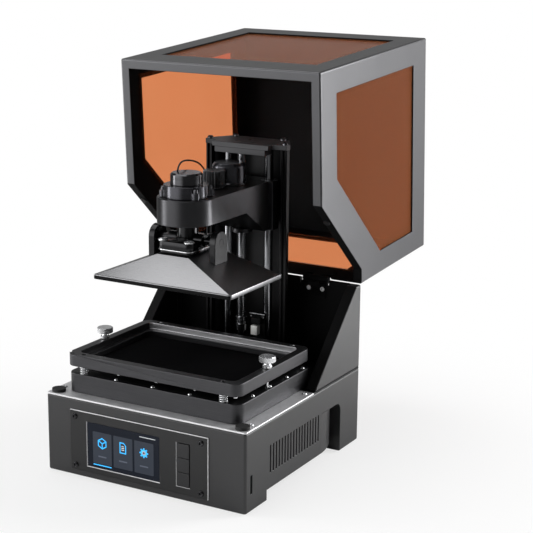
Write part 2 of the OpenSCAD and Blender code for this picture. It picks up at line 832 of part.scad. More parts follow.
module fan_rotor() color("#232426") difference() {
  y0 = wall_back - fan_d + fan_arm_t + fan_gap;
  union() {
    peg(fan_x, fan_z, y0, y0 + fan_hub_d, fan_hub_r);
    for (i = [0:fan_blades - 1]) translate([fan_x, y0 + fan_hub_d / 2, fan_z])
      rotate([0, i * 360 / fan_blades, 0]) rotate([fan_blade_pitch, 0, 0])
      translate([fan_hub_r - over, -fan_blade[1] / 2, -fan_blade[2] / 2]) cube(fan_blade);
  }
  peg(fan_x, fan_z, y0 - over, y0 + fan_hub_d + over, fan_axle_r + run);
}

module rear_sockets() color("#151617") {
  difference() {
    union() {
      peg(jack_x, jack_z, wall_back - over, back_y + jack_proud, jack_r);
      box(jack_x - jack_block / 2, jack_x + jack_block / 2, wall_back - jack_block, wall_back,
          jack_z - jack_block / 2, jack_z + jack_block / 2);
    }
    peg(jack_x, jack_z, back_y - jack_depth, back_y + over, jack_bore_r);
  }
  peg(jack_x, jack_z, back_y - jack_depth - over / 2, back_y - over, jack_pin_r);
  difference() {
    union() {
      switch_opening(0, wall_back - switch_depth, back_y);
      switch_opening(switch_rim, back_y, back_y + over);
    }
    x = rocker_w / 2 + switch_gap;
    z = rocker_h / 2 + switch_gap;
    box(rocker_x - x, rocker_x + x, wall_back - switch_depth + switch_floor, back_y + 2 * over,
        rocker_z - z, rocker_z + z);
    reach = x + rocker_axle_in + fit;
    axle(rocker_x - reach, rocker_x + reach, rocker_pivot_y, rocker_z, rocker_axle_r + run);
  }
}

module switch_rocker() color("#202124") {
  translate([rocker_x, rocker_pivot_y, rocker_z]) rotate([rocker_tilt, 0, 0])
    box(-rocker_w / 2, rocker_w / 2, -rocker_in, rocker_out, -rocker_h / 2, rocker_h / 2);
  reach = rocker_w / 2 + switch_gap + rocker_axle_in;
  axle(rocker_x - reach, rocker_x + reach, rocker_pivot_y, rocker_z, rocker_axle_r);
}

// ---- Exposure block and vat ----

module lcd_block() color("#2b2c2e") difference() {
  block(-block_w / 2, block_w / 2, block_y0, block_y1, deck_z, block_z, block_r);
  box(-block_w / 2 + light_inset, block_w / 2 - light_inset, block_y0 + light_inset,
      block_y1 - light_inset, deck_z - over, block_z + over);
  box(-glass_x - fit / 2, glass_x + fit / 2, glass_y[0] - fit / 2, glass_y[1] + fit / 2,
      block_z - glass_t, block_z + over);
  for (x = [-pin_x, pin_x], y = pin_ys) post(x, y, block_z - pin_depth, block_z + over, pin_r + run);
  for (x = [-thumb_x, thumb_x]) post(x, thumb_y, block_z - thumb_depth, block_z + over, thumb_shank_r + run);
}

module lcd_panel() color("#101217")
  box(-glass_x, glass_x, glass_y[0], glass_y[1], block_z - glass_t, block_z);

module guide_pins() color("#b5b7ba")
  for (x = [-pin_x, pin_x], y = pin_ys)
    post(x, y, block_z - pin_depth, vat_top - pin_recess - 1, pin_r);

module vat_springs() color("#a8abae") for (x = [-pin_x, pin_x], y = pin_ys) difference() {
  post(x, y, block_z, vat_z, spring_r);
  post(x, y, block_z - over, vat_z + over, pin_r + fit);
}

module vat_frame() color("#34353a") difference() {
  block(-block_w / 2, block_w / 2, vat_y0, vat_y1, vat_z, vat_top, block_r);
  block(-block_w / 2 + rim_w, block_w / 2 - rim_w, vat_y0 + rim_w, vat_y1 - rim_w,
        vat_top - rim_step_h, vat_top + over, block_r - rim_inner);
  block(-block_w / 2 + cavity_inset_x, block_w / 2 - cavity_inset_x, vat_y0 + cavity_inset_y,
        vat_y1 - cavity_inset_y, vat_z - over, vat_top + over, cavity_r);
  for (x = [-pin_x, pin_x], y = pin_ys) {
    post(x, y, vat_z - over, vat_top + over, pin_r + run);
    post(x, y, vat_top - pin_recess, vat_top + over, pin_sink_r);
  }
  for (x = [-thumb_x, thumb_x]) post(x, thumb_y, vat_z - over, vat_top + over, thumb_shank_r + fit);
  translate([-block_w / 2 + rim_w / 2, vat_y0 + rim_w / 2, vat_top]) rotate([0, 0, -135])
    rotate([-90, 0, 0]) cylinder(h = 3 * rim_w, r = spout_r, center = true);
}

module film_outline(z0, z1) {
  block(-block_w / 2 + ring_inset_x, block_w / 2 - ring_inset_x, vat_y0 + ring_inset_y,
        vat_y1 - ring_inset_y, z0, z1, ring_corner_r);
}

module vat_film() color("#9fa6ad") difference() {
  film_outline(vat_z - film_t, vat_z);
  film_screws(0, run);
}

module film_ring() color("#26272a") difference() {
  film_outline(ring_z, vat_z - film_t);
  block(-block_w / 2 + cavity_inset_x, block_w / 2 - cavity_inset_x, vat_y0 + cavity_inset_y,
        vat_y1 - cavity_inset_y, ring_z - over, vat_z, cavity_r);
  film_screws(0, run);
}

// Shanks and heads of the screws round the film's ring
module film_screws(head, gap) {
  module one(x, y) {
    post(x, y, ring_z, vat_z, ring_screw_r + gap);
    if (head > 0) post(x, y, ring_z - ring_head_h, ring_z, ring_head_r);
  }
  for (i = [-2:2], y = [vat_y0 + ring_row_y, vat_y1 - ring_row_y]) one(i * ring_row_x / 2, y);
  for (x = [-ring_row_x, ring_row_x], i = [-2:2])
    if (abs(i) < 2) one(x, vat_mid_y + i * ring_side_pitch);
}

module film_ring_screws() color("#c4c6c8") film_screws(1, 0);

module thumbscrew(x) color("#dfe1e3") {
  post(x, thumb_y, block_z - thumb_depth + over, vat_top + fit, thumb_shank_r);
  post(x, thumb_y, vat_top + fit, vat_top + thumb_neck_h, thumb_neck_r);
  translate([x, thumb_y, vat_top + thumb_neck_h]) knurled(thumb_r, thumb_head_h, thumb_teeth, thumb_tooth);
}

module thumbscrew_left() thumbscrew(-thumb_x);
module thumbscrew_right() thumbscrew(thumb_x);

// ---- Tower ----

module tower_extrusion() color("#303134") translate([0, 0, deck_z]) linear_extrude(tower_top - deck_z)
  difference() {
    polygon([[-tower_w / 2, tower_y0], [tower_w / 2, tower_y0], [tower_w / 2, tower_y0 + 5],
             [tower_back_w / 2, tower_y1], [-tower_back_w / 2, tower_y1], [-tower_w / 2, tower_y0 + 5]]);
    x = tower_w / 2 - tower_flange;
    polygon([[-x, tower_y0 - over], [x, tower_y0 - over], [x, tower_y0 + 5.5],
             [tower_back_w / 2 - tower_wall, tower_y1 - tower_wall],
             [-tower_back_w / 2 + tower_wall, tower_y1 - tower_wall], [-x, tower_y0 + 5.5]]);
    for (side = [-1, 1]) translate([side * groove_x - groove_w / 2, tower_y0 - over])
      square([groove_w, over + groove_d]);
  }

module guide_rods() color("#d2d4d6") for (x = [-rod_x, rod_x]) post(x, rod_y, deck_z, tower_top, rod_r);

module tower_top_plate() color("#3a3b3e") difference() {
  union() {
    translate([0, 0, tower_top]) linear_extrude(top_t)
      polygon(concat([for (p = top_half) [-p[0], p[1]]],
                     [for (i = [len(top_half) - 1:-1:0]) top_half[i]]));
    box(-bearing_x, bearing_x, bearing_front, rod_y - rod_r - 0.5, tower_top - bearing_h, tower_top);
  }
  post(0, screw_y, tower_top - bearing_h - over, tower_top, screw_r + run);
  box(-top_slot_x, top_slot_x, tower_y0 - top_slot_w / 3, tower_y0 + top_slot_w * 2 / 3,
      tower_top - over, tower_top + top_t + over);
  post(-3, tower_y0 + 12, tower_top - over, tower_top + top_t + over, 2);
  for (p = top_screw_places) post(p[0], p[1], tower_top - over, tower_top + top_t + over, top_screw_r + run);
}

module tower_top_screws() color("#8f9194") for (p = top_screw_places) {
  post(p[0], p[1], tower_top, tower_top + top_t, top_screw_r);
  post(p[0], p[1], tower_top + top_t, tower_top + top_t + top_head_h, 2 * top_screw_r);
}

module limit_switch() color("#e6e6e2") {
  x1 = switch_x0 + endstop_w;
  y = tower_y0 - 1;
  box(switch_x0, x1, y, y + board_t, deck_z, deck_z + endstop_h);
  box(switch_x0, x1, y - 8, y, deck_z, deck_z + endstop_foot_t);
  for (p = endstop_parts) box(switch_x0 + 0.5, x1 - 1, y - p[0], y, deck_z + p[1], deck_z + p[2]);
}

module motor_coupling() color("#b9bbbe") difference() {
  union() {
    post(0, screw_y, coupling_z, coupling_z + coupling_neck_h, coupling_r - coupling_neck);
    post(0, screw_y, coupling_z + coupling_neck_h, coupling_z + coupling_neck_h + coupling_h, coupling_r);
  }
  post(0, screw_y, coupling_z - over, screw_z, motor_shaft_r + run);
  post(0, screw_y, screw_z, coupling_z + coupling_neck_h + coupling_h + over, screw_r + run);
}

module lead_screw() color("#c9cbcd") {
  post(0, screw_y, base_h - motor_h + motor_socket + over, screw_z, motor_shaft_r);
  post(0, screw_y, screw_z, tower_top - 2, screw_r);
}

// ---- Carriage, arm and head ----

module carriage() color("#2e2f32") difference() {
  translate([0, 0, carriage_z]) linear_extrude(arm_top - carriage_z)
    polygon([[-carriage_x, carriage_y0], [carriage_x, carriage_y0], [carriage_x, carriage_y1 - carriage_cut],
             [carriage_x - carriage_cut, carriage_y1], [-carriage_x + carriage_cut, carriage_y1],
             [-carriage_x, carriage_y1 - carriage_cut]]);
  for (x = [-rod_x, rod_x]) {
    post(x, rod_y, carriage_z - over, arm_top + over, rod_r + bush_wall);
    for (z = [carriage_z - over, arm_top - bush_len]) post(x, rod_y, z, z + bush_len + over, bush_r);
  }
  post(0, screw_y, carriage_z - over, arm_top + over, nut_bore_r);
}

module rod_bushes() color("#a2a4a7") for (x = [-rod_x, rod_x], z = [carriage_z, arm_top - bush_len])
  difference() {
    post(x, rod_y, z, z + bush_len, bush_r - run);
    post(x, rod_y, z - over, z + bush_len + over, rod_r + run);
  }

module lead_nut() color("#b08d4a") difference() {
  union() {
    post(0, screw_y, carriage_z - nut_flange_t, carriage_z, nut_flange_r);
    post(0, screw_y, carriage_z, carriage_z + nut_len, nut_r);
  }
  post(0, screw_y, carriage_z - nut_flange_t - over, carriage_z + nut_len + over, screw_r + run);
}

module arm() color("#3a3b3e") {
  gusset_y = carriage_y0 - 6;
  difference() {
    union() {
      box(-arm_w / 2, arm_w / 2, arm_front_y, carriage_y0, arm_z, arm_top);
      post(0, arm_front_y, arm_z, arm_top, arm_w / 2);
      side_prism([[gusset_y - gusset_slope * gusset_h, arm_z + 0.01], [gusset_y, carriage_z],
                  [carriage_y0, carriage_z], [carriage_y0, arm_z + 0.01]], -arm_w / 2, arm_w / 2);
    }
    post(0, screw_y, carriage_z - over, arm_top + over, nut_bore_r);
  }
  for (y = [plate_knob_y, lock_y]) post(0, y, arm_top, arm_top + knob_stud_h, knob_stud_r);
}

module sensor_collar() color("#35363a") difference() {
  union() {
    post(0, sensor_y, arm_top, collar_top, collar_r);
    for (a = collar_lobes)
      post(collar_r * cos(a), sensor_y + collar_r * sin(a), arm_top, lobe_top, lobe_r);
  }
  for (a = collar_lobes)
    post(collar_r * cos(a), sensor_y + collar_r * sin(a), lobe_top, collar_top + over, lobe_screw_r + run);
}

module sensor_cap() color("#9a9c9f") {
  post(0, sensor_y, collar_top, cap_top - cap_edge, cap_r);
  translate([0, sensor_y, cap_top - cap_edge]) cylinder(h = cap_edge, r1 = cap_r, r2 = cap_r - cap_edge);
}

module collar_screws() color("#26272a") {
  for (a = collar_lobes)
    post(collar_r * cos(a), sensor_y + collar_r * sin(a), lobe_top, lobe_top + lobe_screw_h, lobe_screw_r);
}

module plate_lock_knob() color("#2a2b2e") translate([0, plate_knob_y, arm_top + fit]) difference() {
  knurled(knob_r, knob_h - over, knob_teeth, knob_tooth);
  translate([0, 0, -over]) cylinder(h = knob_stud_h + 2 * over, r = knob_stud_r + run);
}

module arm_lock_knob() color("#2f3033") translate([0, lock_y, arm_top + fit]) difference() {
  union() {
    cylinder(h = knob_h - lock_edge_h, r = lock_r);
    translate([0, 0, knob_h - lock_edge_h]) cylinder(h = lock_edge_h, r1 = lock_r, r2 = lock_r - lock_edge);
  }
  translate([0, 0, -over]) cylinder(h = knob_stud_h + 2 * over, r = knob_stud_r + run);
}

module levelling_head() color("#2c2d30") difference() {
  union() {
    block(-head_w / 2, head_w / 2, head_y - head_d / 2, head_y + head_d / 2, head_z, head_top, 2);
    axle(-head_w / 2, head_w / 2, head_y, tilt_z, boss_r);
    post(0, head_y, head_top, arm_z, neck_r);
  }
  axle(-head_w / 2 - over, head_w / 2 + over, head_y, tilt_z, shaft_r + run);
  for (x = [-level_screw_x, level_screw_x], y = [-level_screw_y, level_screw_y])
    post(x, head_y + y, head_z - over, head_top + over, level_screw_r + run);
}

module levelling_screws() color("#d0d2d4")
  for (x = [-level_screw_x, level_screw_x], y = [-level_screw_y, level_screw_y]) {
    post(x, head_y + y, head_z - 0.6, head_top, level_screw_r);
    post(x, head_y + y, head_top, head_top + level_head_h, level_head_r);
  }

module tilt_shaft() color("#c2c4c7") {
  x = ear_span / 2 + 0.3;
  axle(-x, x, head_y, tilt_z, shaft_r);
  both_sides() axle(x, x + shaft_head_t, head_y, tilt_z, shaft_head_r);
}

// Height of the plate's side slope at a distance from the middle
function slope_z(x) = plate_z + slab_t + hip_h * (plate_w / 2 - slope_inset - x)
                      / (plate_w / 2 - slope_inset - pad_w / 2);

module plate_bracket() color("#27282b") both_sides() {
  x0 = ear_span / 2 - ear_t;
  x1 = ear_span / 2;
  difference() {
    union() {
      translate([0, head_y + ear_r, 0]) rotate([90, 0, 0]) linear_extrude(2 * ear_r)
        polygon([[x0, slope_z(x0)], [x1, slope_z(x1)], [x1, tilt_z], [x0, tilt_z]]);
      axle(x0, x1, head_y, tilt_z, ear_r);
    }
    axle(x0 - over, x1 + over, head_y, tilt_z, shaft_r + run);
  }
}

module build_plate() color("#c3c5c8") {
  block(-plate_w / 2, plate_w / 2, head_y - plate_d / 2, head_y + plate_d / 2, plate_z, plate_z + slab_t, 4);
  low_x = plate_w / 2 - slope_inset;
  low_y = plate_d / 2 - slope_inset;
  translate([0, head_y, plate_z + slab_t]) polyhedron(
    points = [[-low_x, -low_y, 0], [low_x, -low_y, 0], [low_x, low_y, 0], [-low_x, low_y, 0],
              [-pad_w / 2, -pad_d / 2, hip_h], [pad_w / 2, -pad_d / 2, hip_h],
              [pad_w / 2, pad_d / 2, hip_h], [-pad_w / 2, pad_d / 2, hip_h]],
    faces = [[0, 1, 2, 3], [4, 7, 6, 5], [0, 4, 5, 1], [1, 5, 6, 2], [2, 6, 7, 3], [3, 7, 4, 0]]);
}

// ---- Rear housing, hinges and hood ----

// Side outline of the rear housing, drawn in by a margin
function wing_outline(m, low) =
  [[low + wing_diag + m * sqrt(2), low], [wing_z - m + wing_diag + m * sqrt(2), wing_z - m],
   [back_y - m, wing_z - m], [back_y - m, low]];

module notches(y0, y1) both_sides()
  box(notch_x, notch_x + notch_w, y0, y1, notch_z, back_top + over);

module rear_housing() color("#3d3e41") difference() {
  intersection() {
    block(-base_w / 2, base_w / 2, front_y, back_y, deck_z, wing_z, corner_r);
    side_prism(wing_outline(0, deck_z), -base_w, base_w);
  }
  intersection() {
    block(-in_w / 2, in_w / 2, wall_front, wall_back, deck_z - over, wing_z, corner_r - sheet_t);
    side_prism(wing_outline(sheet_t, deck_z - over), -base_w, base_w);
  }
  x = base_w / 2 - wing_flange;
  box(-x, x, front_y, wall_back, deck_z - over, wing_z + over);
  notches(wall_back - over, back_y + over);
}

module back_panel() color("#2e2f32") difference() {
  x = base_w / 2 - wing_flange - fit;
  y0 = wall_back - back_t;
  r = back_t / 2;
  union() {
    box(-x, x, y0, wall_back, deck_z, back_top - r);
    axle(-x, x, y0 + r, back_top - r, r);
  }
  notches(y0 - over, wall_back + over);
}

module wall_hinges() color("#9b9da0") both_sides() {
  y1 = wall_back - back_t;
  y0 = y1 - leaf_t;
  difference() {
    union() {
      box(hinge_mid - hinge_half, hinge_mid + hinge_half, y0, y1, notch_z - leaf_h, notch_z + web_rise);
      for (x = [[-hinge_half, -knuckle_half - knuckle_gap], [knuckle_half + knuckle_gap, hinge_half]]) {
        axle(hinge_mid + x[0], hinge_mid + x[1], hinge_y, hinge_z, barrel_r);
        box(hinge_mid + x[0], hinge_mid + x[1], y0, hinge_y, notch_z + web_rise, notch_z + web_rise + web_h);
      }
    }
    axle(0, base_w / 2, hinge_y, hinge_z, hinge_pin_r + run);
  }
  for (x = [-hinge_screw_x, hinge_screw_x])
    peg(hinge_mid + x, notch_z - web_h, y0 - hinge_screw_h, y0, hinge_screw_r);
}

module hinge_pins() color("#bfc1c4") both_sides()
  axle(hinge_mid - hinge_half - 0.5, hinge_mid + hinge_half + 0.5, hinge_y, hinge_z, hinge_pin_r);

module hood_hinges() color("#2a2b2d") swung_open() both_sides() {
  y1 = hood_y1 - hood_t;
  y0 = y1 - leaf_t;
  difference() {
    union() {
      box(hinge_mid - hinge_half, hinge_mid + hinge_half, y0, y1, hood_notch_z + 0.3, hood_notch_z + leaf_h);
      box(hinge_mid - knuckle_half, hinge_mid + knuckle_half, y0, y0 + web_h, hinge_z, hood_notch_z + 0.3);
      box(hinge_mid - knuckle_half, hinge_mid + knuckle_half, y0, hinge_y, hinge_z, hinge_z + web_h);
      axle(hinge_mid - knuckle_half, hinge_mid + knuckle_half, hinge_y, hinge_z, barrel_r);
    }
    axle(0, base_w / 2, hinge_y, hinge_z, hinge_pin_r + run);
    box(hinge_mid - hinge_half, hinge_mid + hinge_half, y1, hood_y1 + over, hood_notch_z, hood_z1);
  }
}

// Side outline of the closed hood, drawn in by a margin
function hood_outline(m) =
  [[front_y + m, hood_z0 + m], [hood_z0 + m + hood_diag - m * sqrt(2), hood_z0 + m],
   [hood_rear_z + m + hood_diag - m * sqrt(2), hood_rear_z + m],
   [hood_y1 - m, hood_rear_z + m], [hood_y1 - m, hood_z1 - m], [front_y + m, hood_z1 - m]];

module hood_frame() color("#4a4b4e") swung_open() difference() {
  side_prism(hood_outline(0), -base_w / 2, base_w / 2);
  side_prism(hood_outline(hood_t), -base_w / 2 + hood_t, base_w / 2 - hood_t);
  mouth_x = base_w / 2 - hood_flange;
  rim_z = [hood_z0 + mouth_rim, hood_rear_z + mouth_rim];
  side_prism([[front_y + hood_flange, deck_z], [hood_y1 - hood_t, deck_z], [hood_y1 - hood_t, rim_z[1]],
              [rim_z[1] + hood_diag - mouth_diag, rim_z[1]], [rim_z[0] + hood_diag - mouth_diag, rim_z[0]],
              [front_y + hood_flange, rim_z[0]]], -mouth_x, mouth_x);
  side_prism(side_window, -base_w, base_w);
  box(-base_w / 2 + window_margin, base_w / 2 - window_margin, front_y - over, front_y + hood_t + over,
      front_window_z[0], front_window_z[1]);
  box(-rear_window_x, rear_window_x, hood_y1 - hood_t - over, hood_y1 + over,
      rear_window_z[0], rear_window_z[1]);
  both_sides() box(hinge_mid - hinge_half - 1.5, hinge_mid + hinge_half + 1.5, hood_y1 - hood_t - over,
                   hood_y1 + over, hood_rear_z - over, hood_notch_z);
}

// Side window sheet's outline: the opening grown by the lap
function lapped_side() = let (g = window_lap, w = side_window, d = g * (sqrt(2) - 1))
  [[w[0][0] - g, w[0][1] - g], [w[1][0] + d, w[1][1] - g], [w[2][0] + g, w[2][1] - d],
   [w[3][0] + g, w[3][1] + g], [w[4][0] - g, w[4][1] + g]];

module hood_windows() color("#c8702c") swung_open() {
  x = base_w / 2 - hood_t;
  both_sides() side_prism(lapped_side(), x - window_t, x);
  front_x = base_w / 2 - window_margin + window_lap;
  box(-front_x, front_x, front_y + hood_t, front_y + hood_t + window_t,
      front_window_z[0] - window_lap, front_window_z[1] + window_lap);
  rear_x = rear_window_x + window_lap;
  box(-rear_x, rear_x, hood_y1 - hood_t - window_t, hood_y1 - hood_t,
      rear_window_z[0] - window_lap, rear_window_z[1] + window_lap);
}

module hood_bumpers() color("#161718") swung_open() both_sides()
  translate([base_w / 2 - hood_bumper_in[0], hood_z0 + hood_bumper_in[1] + hood_diag,
             hood_z0 + hood_bumper_in[1]])
    rotate([-135, 0, 0]) cylinder(h = hood_seam - 2.5 * fit, r = hood_bumper_r);

// ---- Sensor lead ----

function unit(v) = v / norm(v);
function lead_at(i) = [lead_points[i][0], sensor_y + lead_points[i][1], cap_top + lead_points[i][2]];
lead_count = len(lead_points);
function spline(p, t) = let (a = p[0], b = p[1], c = p[2], d = p[3])
  0.5 * (2 * b + (c - a) * t + (2 * a - 5 * b + 4 * c - d) * t * t + (3 * b - a - 3 * c + d) * t * t * t);
function lead_clamped(i) = lead_at(max(0, min(lead_count - 1, i)));
lead_path = concat([for (i = [0:lead_count - 2], k = [0:lead_sub - 1])
                    spline([lead_clamped(i - 1), lead_at(i), lead_at(i + 1), lead_clamped(i + 2)], k / lead_sub)],
                   [lead_at(lead_count - 1)]);

module sensor_lead() color("#1a1b1c") {
  n = len(lead_path);
  rings = [for (i = [0:n - 1]) let (
             t = unit(lead_path[min(n - 1, i + 1)] - lead_path[max(0, i - 1)]),
             a = unit(cross(t, [1, 0, 0.2])), b = cross(t, a))
           [for (k = [0:lead_sides - 1]) let (q = k * 360 / lead_sides)
            lead_path[i] + lead_r * (cos(q) * a + sin(q) * b)]];
  points = [for (ring = rings, p = ring) p];
  walls = [for (i = [0:n - 2], k = [0:lead_sides - 1]) let (j = (k + 1) % lead_sides)
           [i * lead_sides + k, i * lead_sides + j, (i + 1) * lead_sides + j, (i + 1) * lead_sides + k]];
  first = [for (k = [0:lead_sides - 1]) lead_sides - 1 - k];
  last = [for (k = [0:lead_sides - 1]) (n - 1) * lead_sides + k];
  polyhedron(points, concat([first], walls, [last]));
}

base_shell();
bottom_plate();
rubber_pads();
deck_plate();
cover_screws();
panel_plate();
touch_screen();
panel_boards();
key_top();
key_middle();
key_bottom();
mainboard();
stepper_motor();
uv_lamp();
lamp_reflector();
fan_frame();
fan_rotor();
rear_sockets();
switch_rocker();
lcd_block();
lcd_panel();
guide_pins();
vat_springs();
vat_frame();
vat_film();
film_ring();
film_ring_screws();
thumbscrew_left();
thumbscrew_right();
tower_extrusion();
guide_rods();
tower_top_plate();
tower_top_screws();
limit_switch();
motor_coupling();
lead_screw();
carriage();
rod_bushes();
lead_nut();
arm();
sensor_collar();
sensor_cap();
collar_screws();
plate_lock_knob();
arm_lock_knob();
levelling_head();
levelling_screws();
tilt_shaft();
plate_bracket();
build_plate();
rear_housing();
back_panel();
wall_hinges();
hood_hinges();
hinge_pins();
hood_frame();
hood_windows();
hood_bumpers();
sensor_lead();
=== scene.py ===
# %% [markdown]
# # A desktop resin printer, dressed in Blender
#
# The printer arrives as a finished engineering model: every plate, pin and screw is in its
# place, but its edges are knife sharp and its surfaces are bare. This lesson gives the edges
# the small radii that real folding and machining leave, swaps a few plain solids for turned,
# threaded and wound shapes, and then makes a finish for each part.

# %% Load the engineering model
import json
import bmesh
import bpy
import numpy as np
from mathutils import Matrix, Vector


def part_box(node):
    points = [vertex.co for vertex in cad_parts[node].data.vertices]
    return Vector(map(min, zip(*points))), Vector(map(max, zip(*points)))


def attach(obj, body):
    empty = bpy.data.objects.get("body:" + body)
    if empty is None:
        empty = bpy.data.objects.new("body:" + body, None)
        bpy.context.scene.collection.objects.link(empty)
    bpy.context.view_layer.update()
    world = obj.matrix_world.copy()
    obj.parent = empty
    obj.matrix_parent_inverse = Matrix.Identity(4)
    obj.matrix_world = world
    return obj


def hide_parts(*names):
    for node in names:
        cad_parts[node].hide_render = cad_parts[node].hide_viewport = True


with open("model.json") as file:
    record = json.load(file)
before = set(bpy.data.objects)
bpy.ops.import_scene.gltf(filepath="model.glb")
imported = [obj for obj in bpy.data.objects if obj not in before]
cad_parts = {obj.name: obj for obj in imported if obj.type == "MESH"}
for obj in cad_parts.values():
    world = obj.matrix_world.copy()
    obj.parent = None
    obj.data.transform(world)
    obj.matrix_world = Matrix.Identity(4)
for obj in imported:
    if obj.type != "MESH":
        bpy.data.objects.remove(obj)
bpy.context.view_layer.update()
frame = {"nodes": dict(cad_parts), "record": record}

MM = 0.001

# %% [markdown]
# ## Camera
#
# A product picture is taken from well back with a long lens, so that edges stay almost
# parallel. The camera stands to the right of the printer and a little above it, and it is
# rolled by half a degree.

# %% Place the camera
CAMERA_PLACE = Vector((0.6543, -1.0506, 0.4788))
CAMERA_TURN = np.radians(29.53)
CAMERA_TILT = np.radians(13.83)
CAMERA_ROLL = np.radians(0.54)
CAMERA_LENS = 98.35

lens = bpy.data.cameras.new("product_lens")
lens.lens = CAMERA_LENS
lens.sensor_width = 36.0
lens.clip_start, lens.clip_end = 0.01, 50.0
camera = bpy.data.objects.new("product_camera", lens)
camera.matrix_world = (Matrix.Translation(CAMERA_PLACE) @ Matrix.Rotation(CAMERA_TURN, 4, "Z")
                       @ Matrix.Rotation(np.pi / 2 - CAMERA_TILT, 4, "X")
                       @ Matrix.Rotation(CAMERA_ROLL, 4, "Z"))
bpy.context.collection.objects.link(camera)
bpy.context.scene.camera = camera
print("camera lens", CAMERA_LENS, "mm")

# %% [markdown]
# ## Node helper
#
# All finishes below are node trees. One small function adds a node, sets its properties and
# fills its inputs, so that a tree reads from top to bottom like a recipe.

# %% Add a node, and turn a hex colour to linear light
def linear(hex_colour):
    """An sRGB hex colour as linear light, by the sRGB curve."""
    part = [int(hex_colour[i:i + 2], 16) / 255 for i in (1, 3, 5)]
    return tuple(p / 12.92 if p <= 0.04045 else ((p + 0.055) / 1.055) ** 2.4 for p in part) + (1.0,)


def add(tree, kind, inputs=None, **settings):
    """A node of that kind. settings are its properties.

    inputs maps a socket to a value or to another node's output.
    """
    node = tree.nodes.new("ShaderNode" + kind)
    for name, value in settings.items():
        setattr(node, name, value)
    for key, value in (inputs or {}).items():
        if isinstance(value, bpy.types.NodeSocket):
            tree.links.new(value, node.inputs[key])
        else:
            node.inputs[key].default_value = value
    return node


print("mid grey as linear light", round(linear("#808080")[0], 3))

# %% [markdown]
# ## Light from all around
#
# Black satin parts show their shape only through what they mirror, so the surroundings matter
# more than the lamps. A studio hangs white cloth in a few places and leaves the rest of the
# room dark. The world here is dark grey with three soft glows, each given by a direction and
# a strength: one behind the printer at its right, a stronger one in front at its left and a
# faint one behind it at its left. Curved parts then get a bright band, a dark band and a
# bright band. Below the horizon the glows fade, as they would behind a table.

# %% Glows by direction
SKY_DARK = 0.13
SKY_GLOWS = (((0.62, 0.78, 0.0), 1.1), ((-0.55, -0.83, 0.0), 2.4), ((-0.53, 0.82, 0.2), 0.16))
GLOW_EDGE = 0.68
FADE_LOW, FADE_HIGH, SHARE_BELOW = -0.30, -0.05, 0.2
world = bpy.data.worlds.new("white_sweep")
bpy.context.scene.world = world
world.use_nodes = True
sky = world.node_tree
sky.nodes.clear()
place = add(sky, "TexCoord")
level = 0.0
for towards, gain in SKY_GLOWS:
    facing = add(sky, "VectorMath", {0: place.outputs["Generated"], 1: towards}, operation="DOT_PRODUCT")
    glow = add(sky, "MapRange", {"Value": facing.outputs["Value"], "From Min": GLOW_EDGE, "From Max": 1.0,
                                 "To Min": 0.0, "To Max": gain}, interpolation_type="SMOOTHSTEP")
    level = add(sky, "Math", {0: level, 1: glow.outputs[0]}, operation="ADD").outputs[0]
height = add(sky, "SeparateXYZ", {0: place.outputs["Generated"]}).outputs["Z"]
rise = add(sky, "MapRange", {"Value": height, "From Min": FADE_LOW, "From Max": FADE_HIGH,
                             "To Min": SHARE_BELOW, "To Max": 1.0}, interpolation_type="SMOOTHSTEP")
level = add(sky, "Math", {0: level, 1: rise.outputs[0], 2: SKY_DARK}, operation="MULTIPLY_ADD").outputs[0]
print("glows in the sky:", len(SKY_GLOWS))

# %% [markdown]
# ## A white background that adds no light
#
# The picture needs a pure white background, but a world as white as that would wash out the
# black paint. The Light Path node tells which kind of ray is asking. Camera rays, and rays
# that go straight on through a clear window, see plain white. All others see the dark sky and
# its glows. A ray that passes a window after a bounce is dyed orange by it, so it is given a
# bluish sky, and the black parts seen through the windows stay neutral.

# %% Sort the rays
BEHIND_ORANGE = (2.0, 5.8, 14.4, 1.0)
path = add(sky, "LightPath")
is_through = path.outputs["Is Transmission Ray"]
bounced = add(sky, "Math", {0: path.outputs["Glossy Depth"], 1: path.outputs["Diffuse Depth"]},
              operation="ADD")
bounced = add(sky, "Math", {0: bounced.outputs[0], 1: 1.0}, operation="MINIMUM")
straight = add(sky, "Math", {0: is_through, 1: bounced.outputs[0]}, operation="SUBTRACT", use_clamp=True)
filtered = add(sky, "Math", {0: is_through, 1: bounced.outputs[0]}, operation="MULTIPLY")
seen = add(sky, "Math", {0: path.outputs["Is Camera Ray"], 1: straight.outputs[0]}, operation="MAXIMUM")
soft = add(sky, "Background", {"Color": (1, 1, 1, 1), "Strength": level})
through = add(sky, "Background", {"Color": BEHIND_ORANGE, "Strength": level})
white = add(sky, "Background", {"Color": (1, 1, 1, 1), "Strength": 1.0})
around = add(sky, "MixShader", {0: filtered.outputs[0], 1: soft.outputs[0], 2: through.outputs[0]})
mixed = add(sky, "MixShader", {0: seen.outputs[0], 1: around.outputs[0], 2: white.outputs[0]})
add(sky, "OutputWorld", {"Surface": mixed.outputs[0]})
bpy.context.scene.view_settings.view_transform = "Standard"
print("the sky has", len(sky.nodes), "nodes")

# %% [markdown]
# ## Soft boxes
#
# A soft box is a lamp behind a wide cloth, so its highlight is a broad band with soft ends.
# Rectangular area lamps do the same: a narrow one in front at the left, a large one behind at
# the right and one overhead. Rays that have gone through a window don't see them, because
# their images would show there as orange patches.


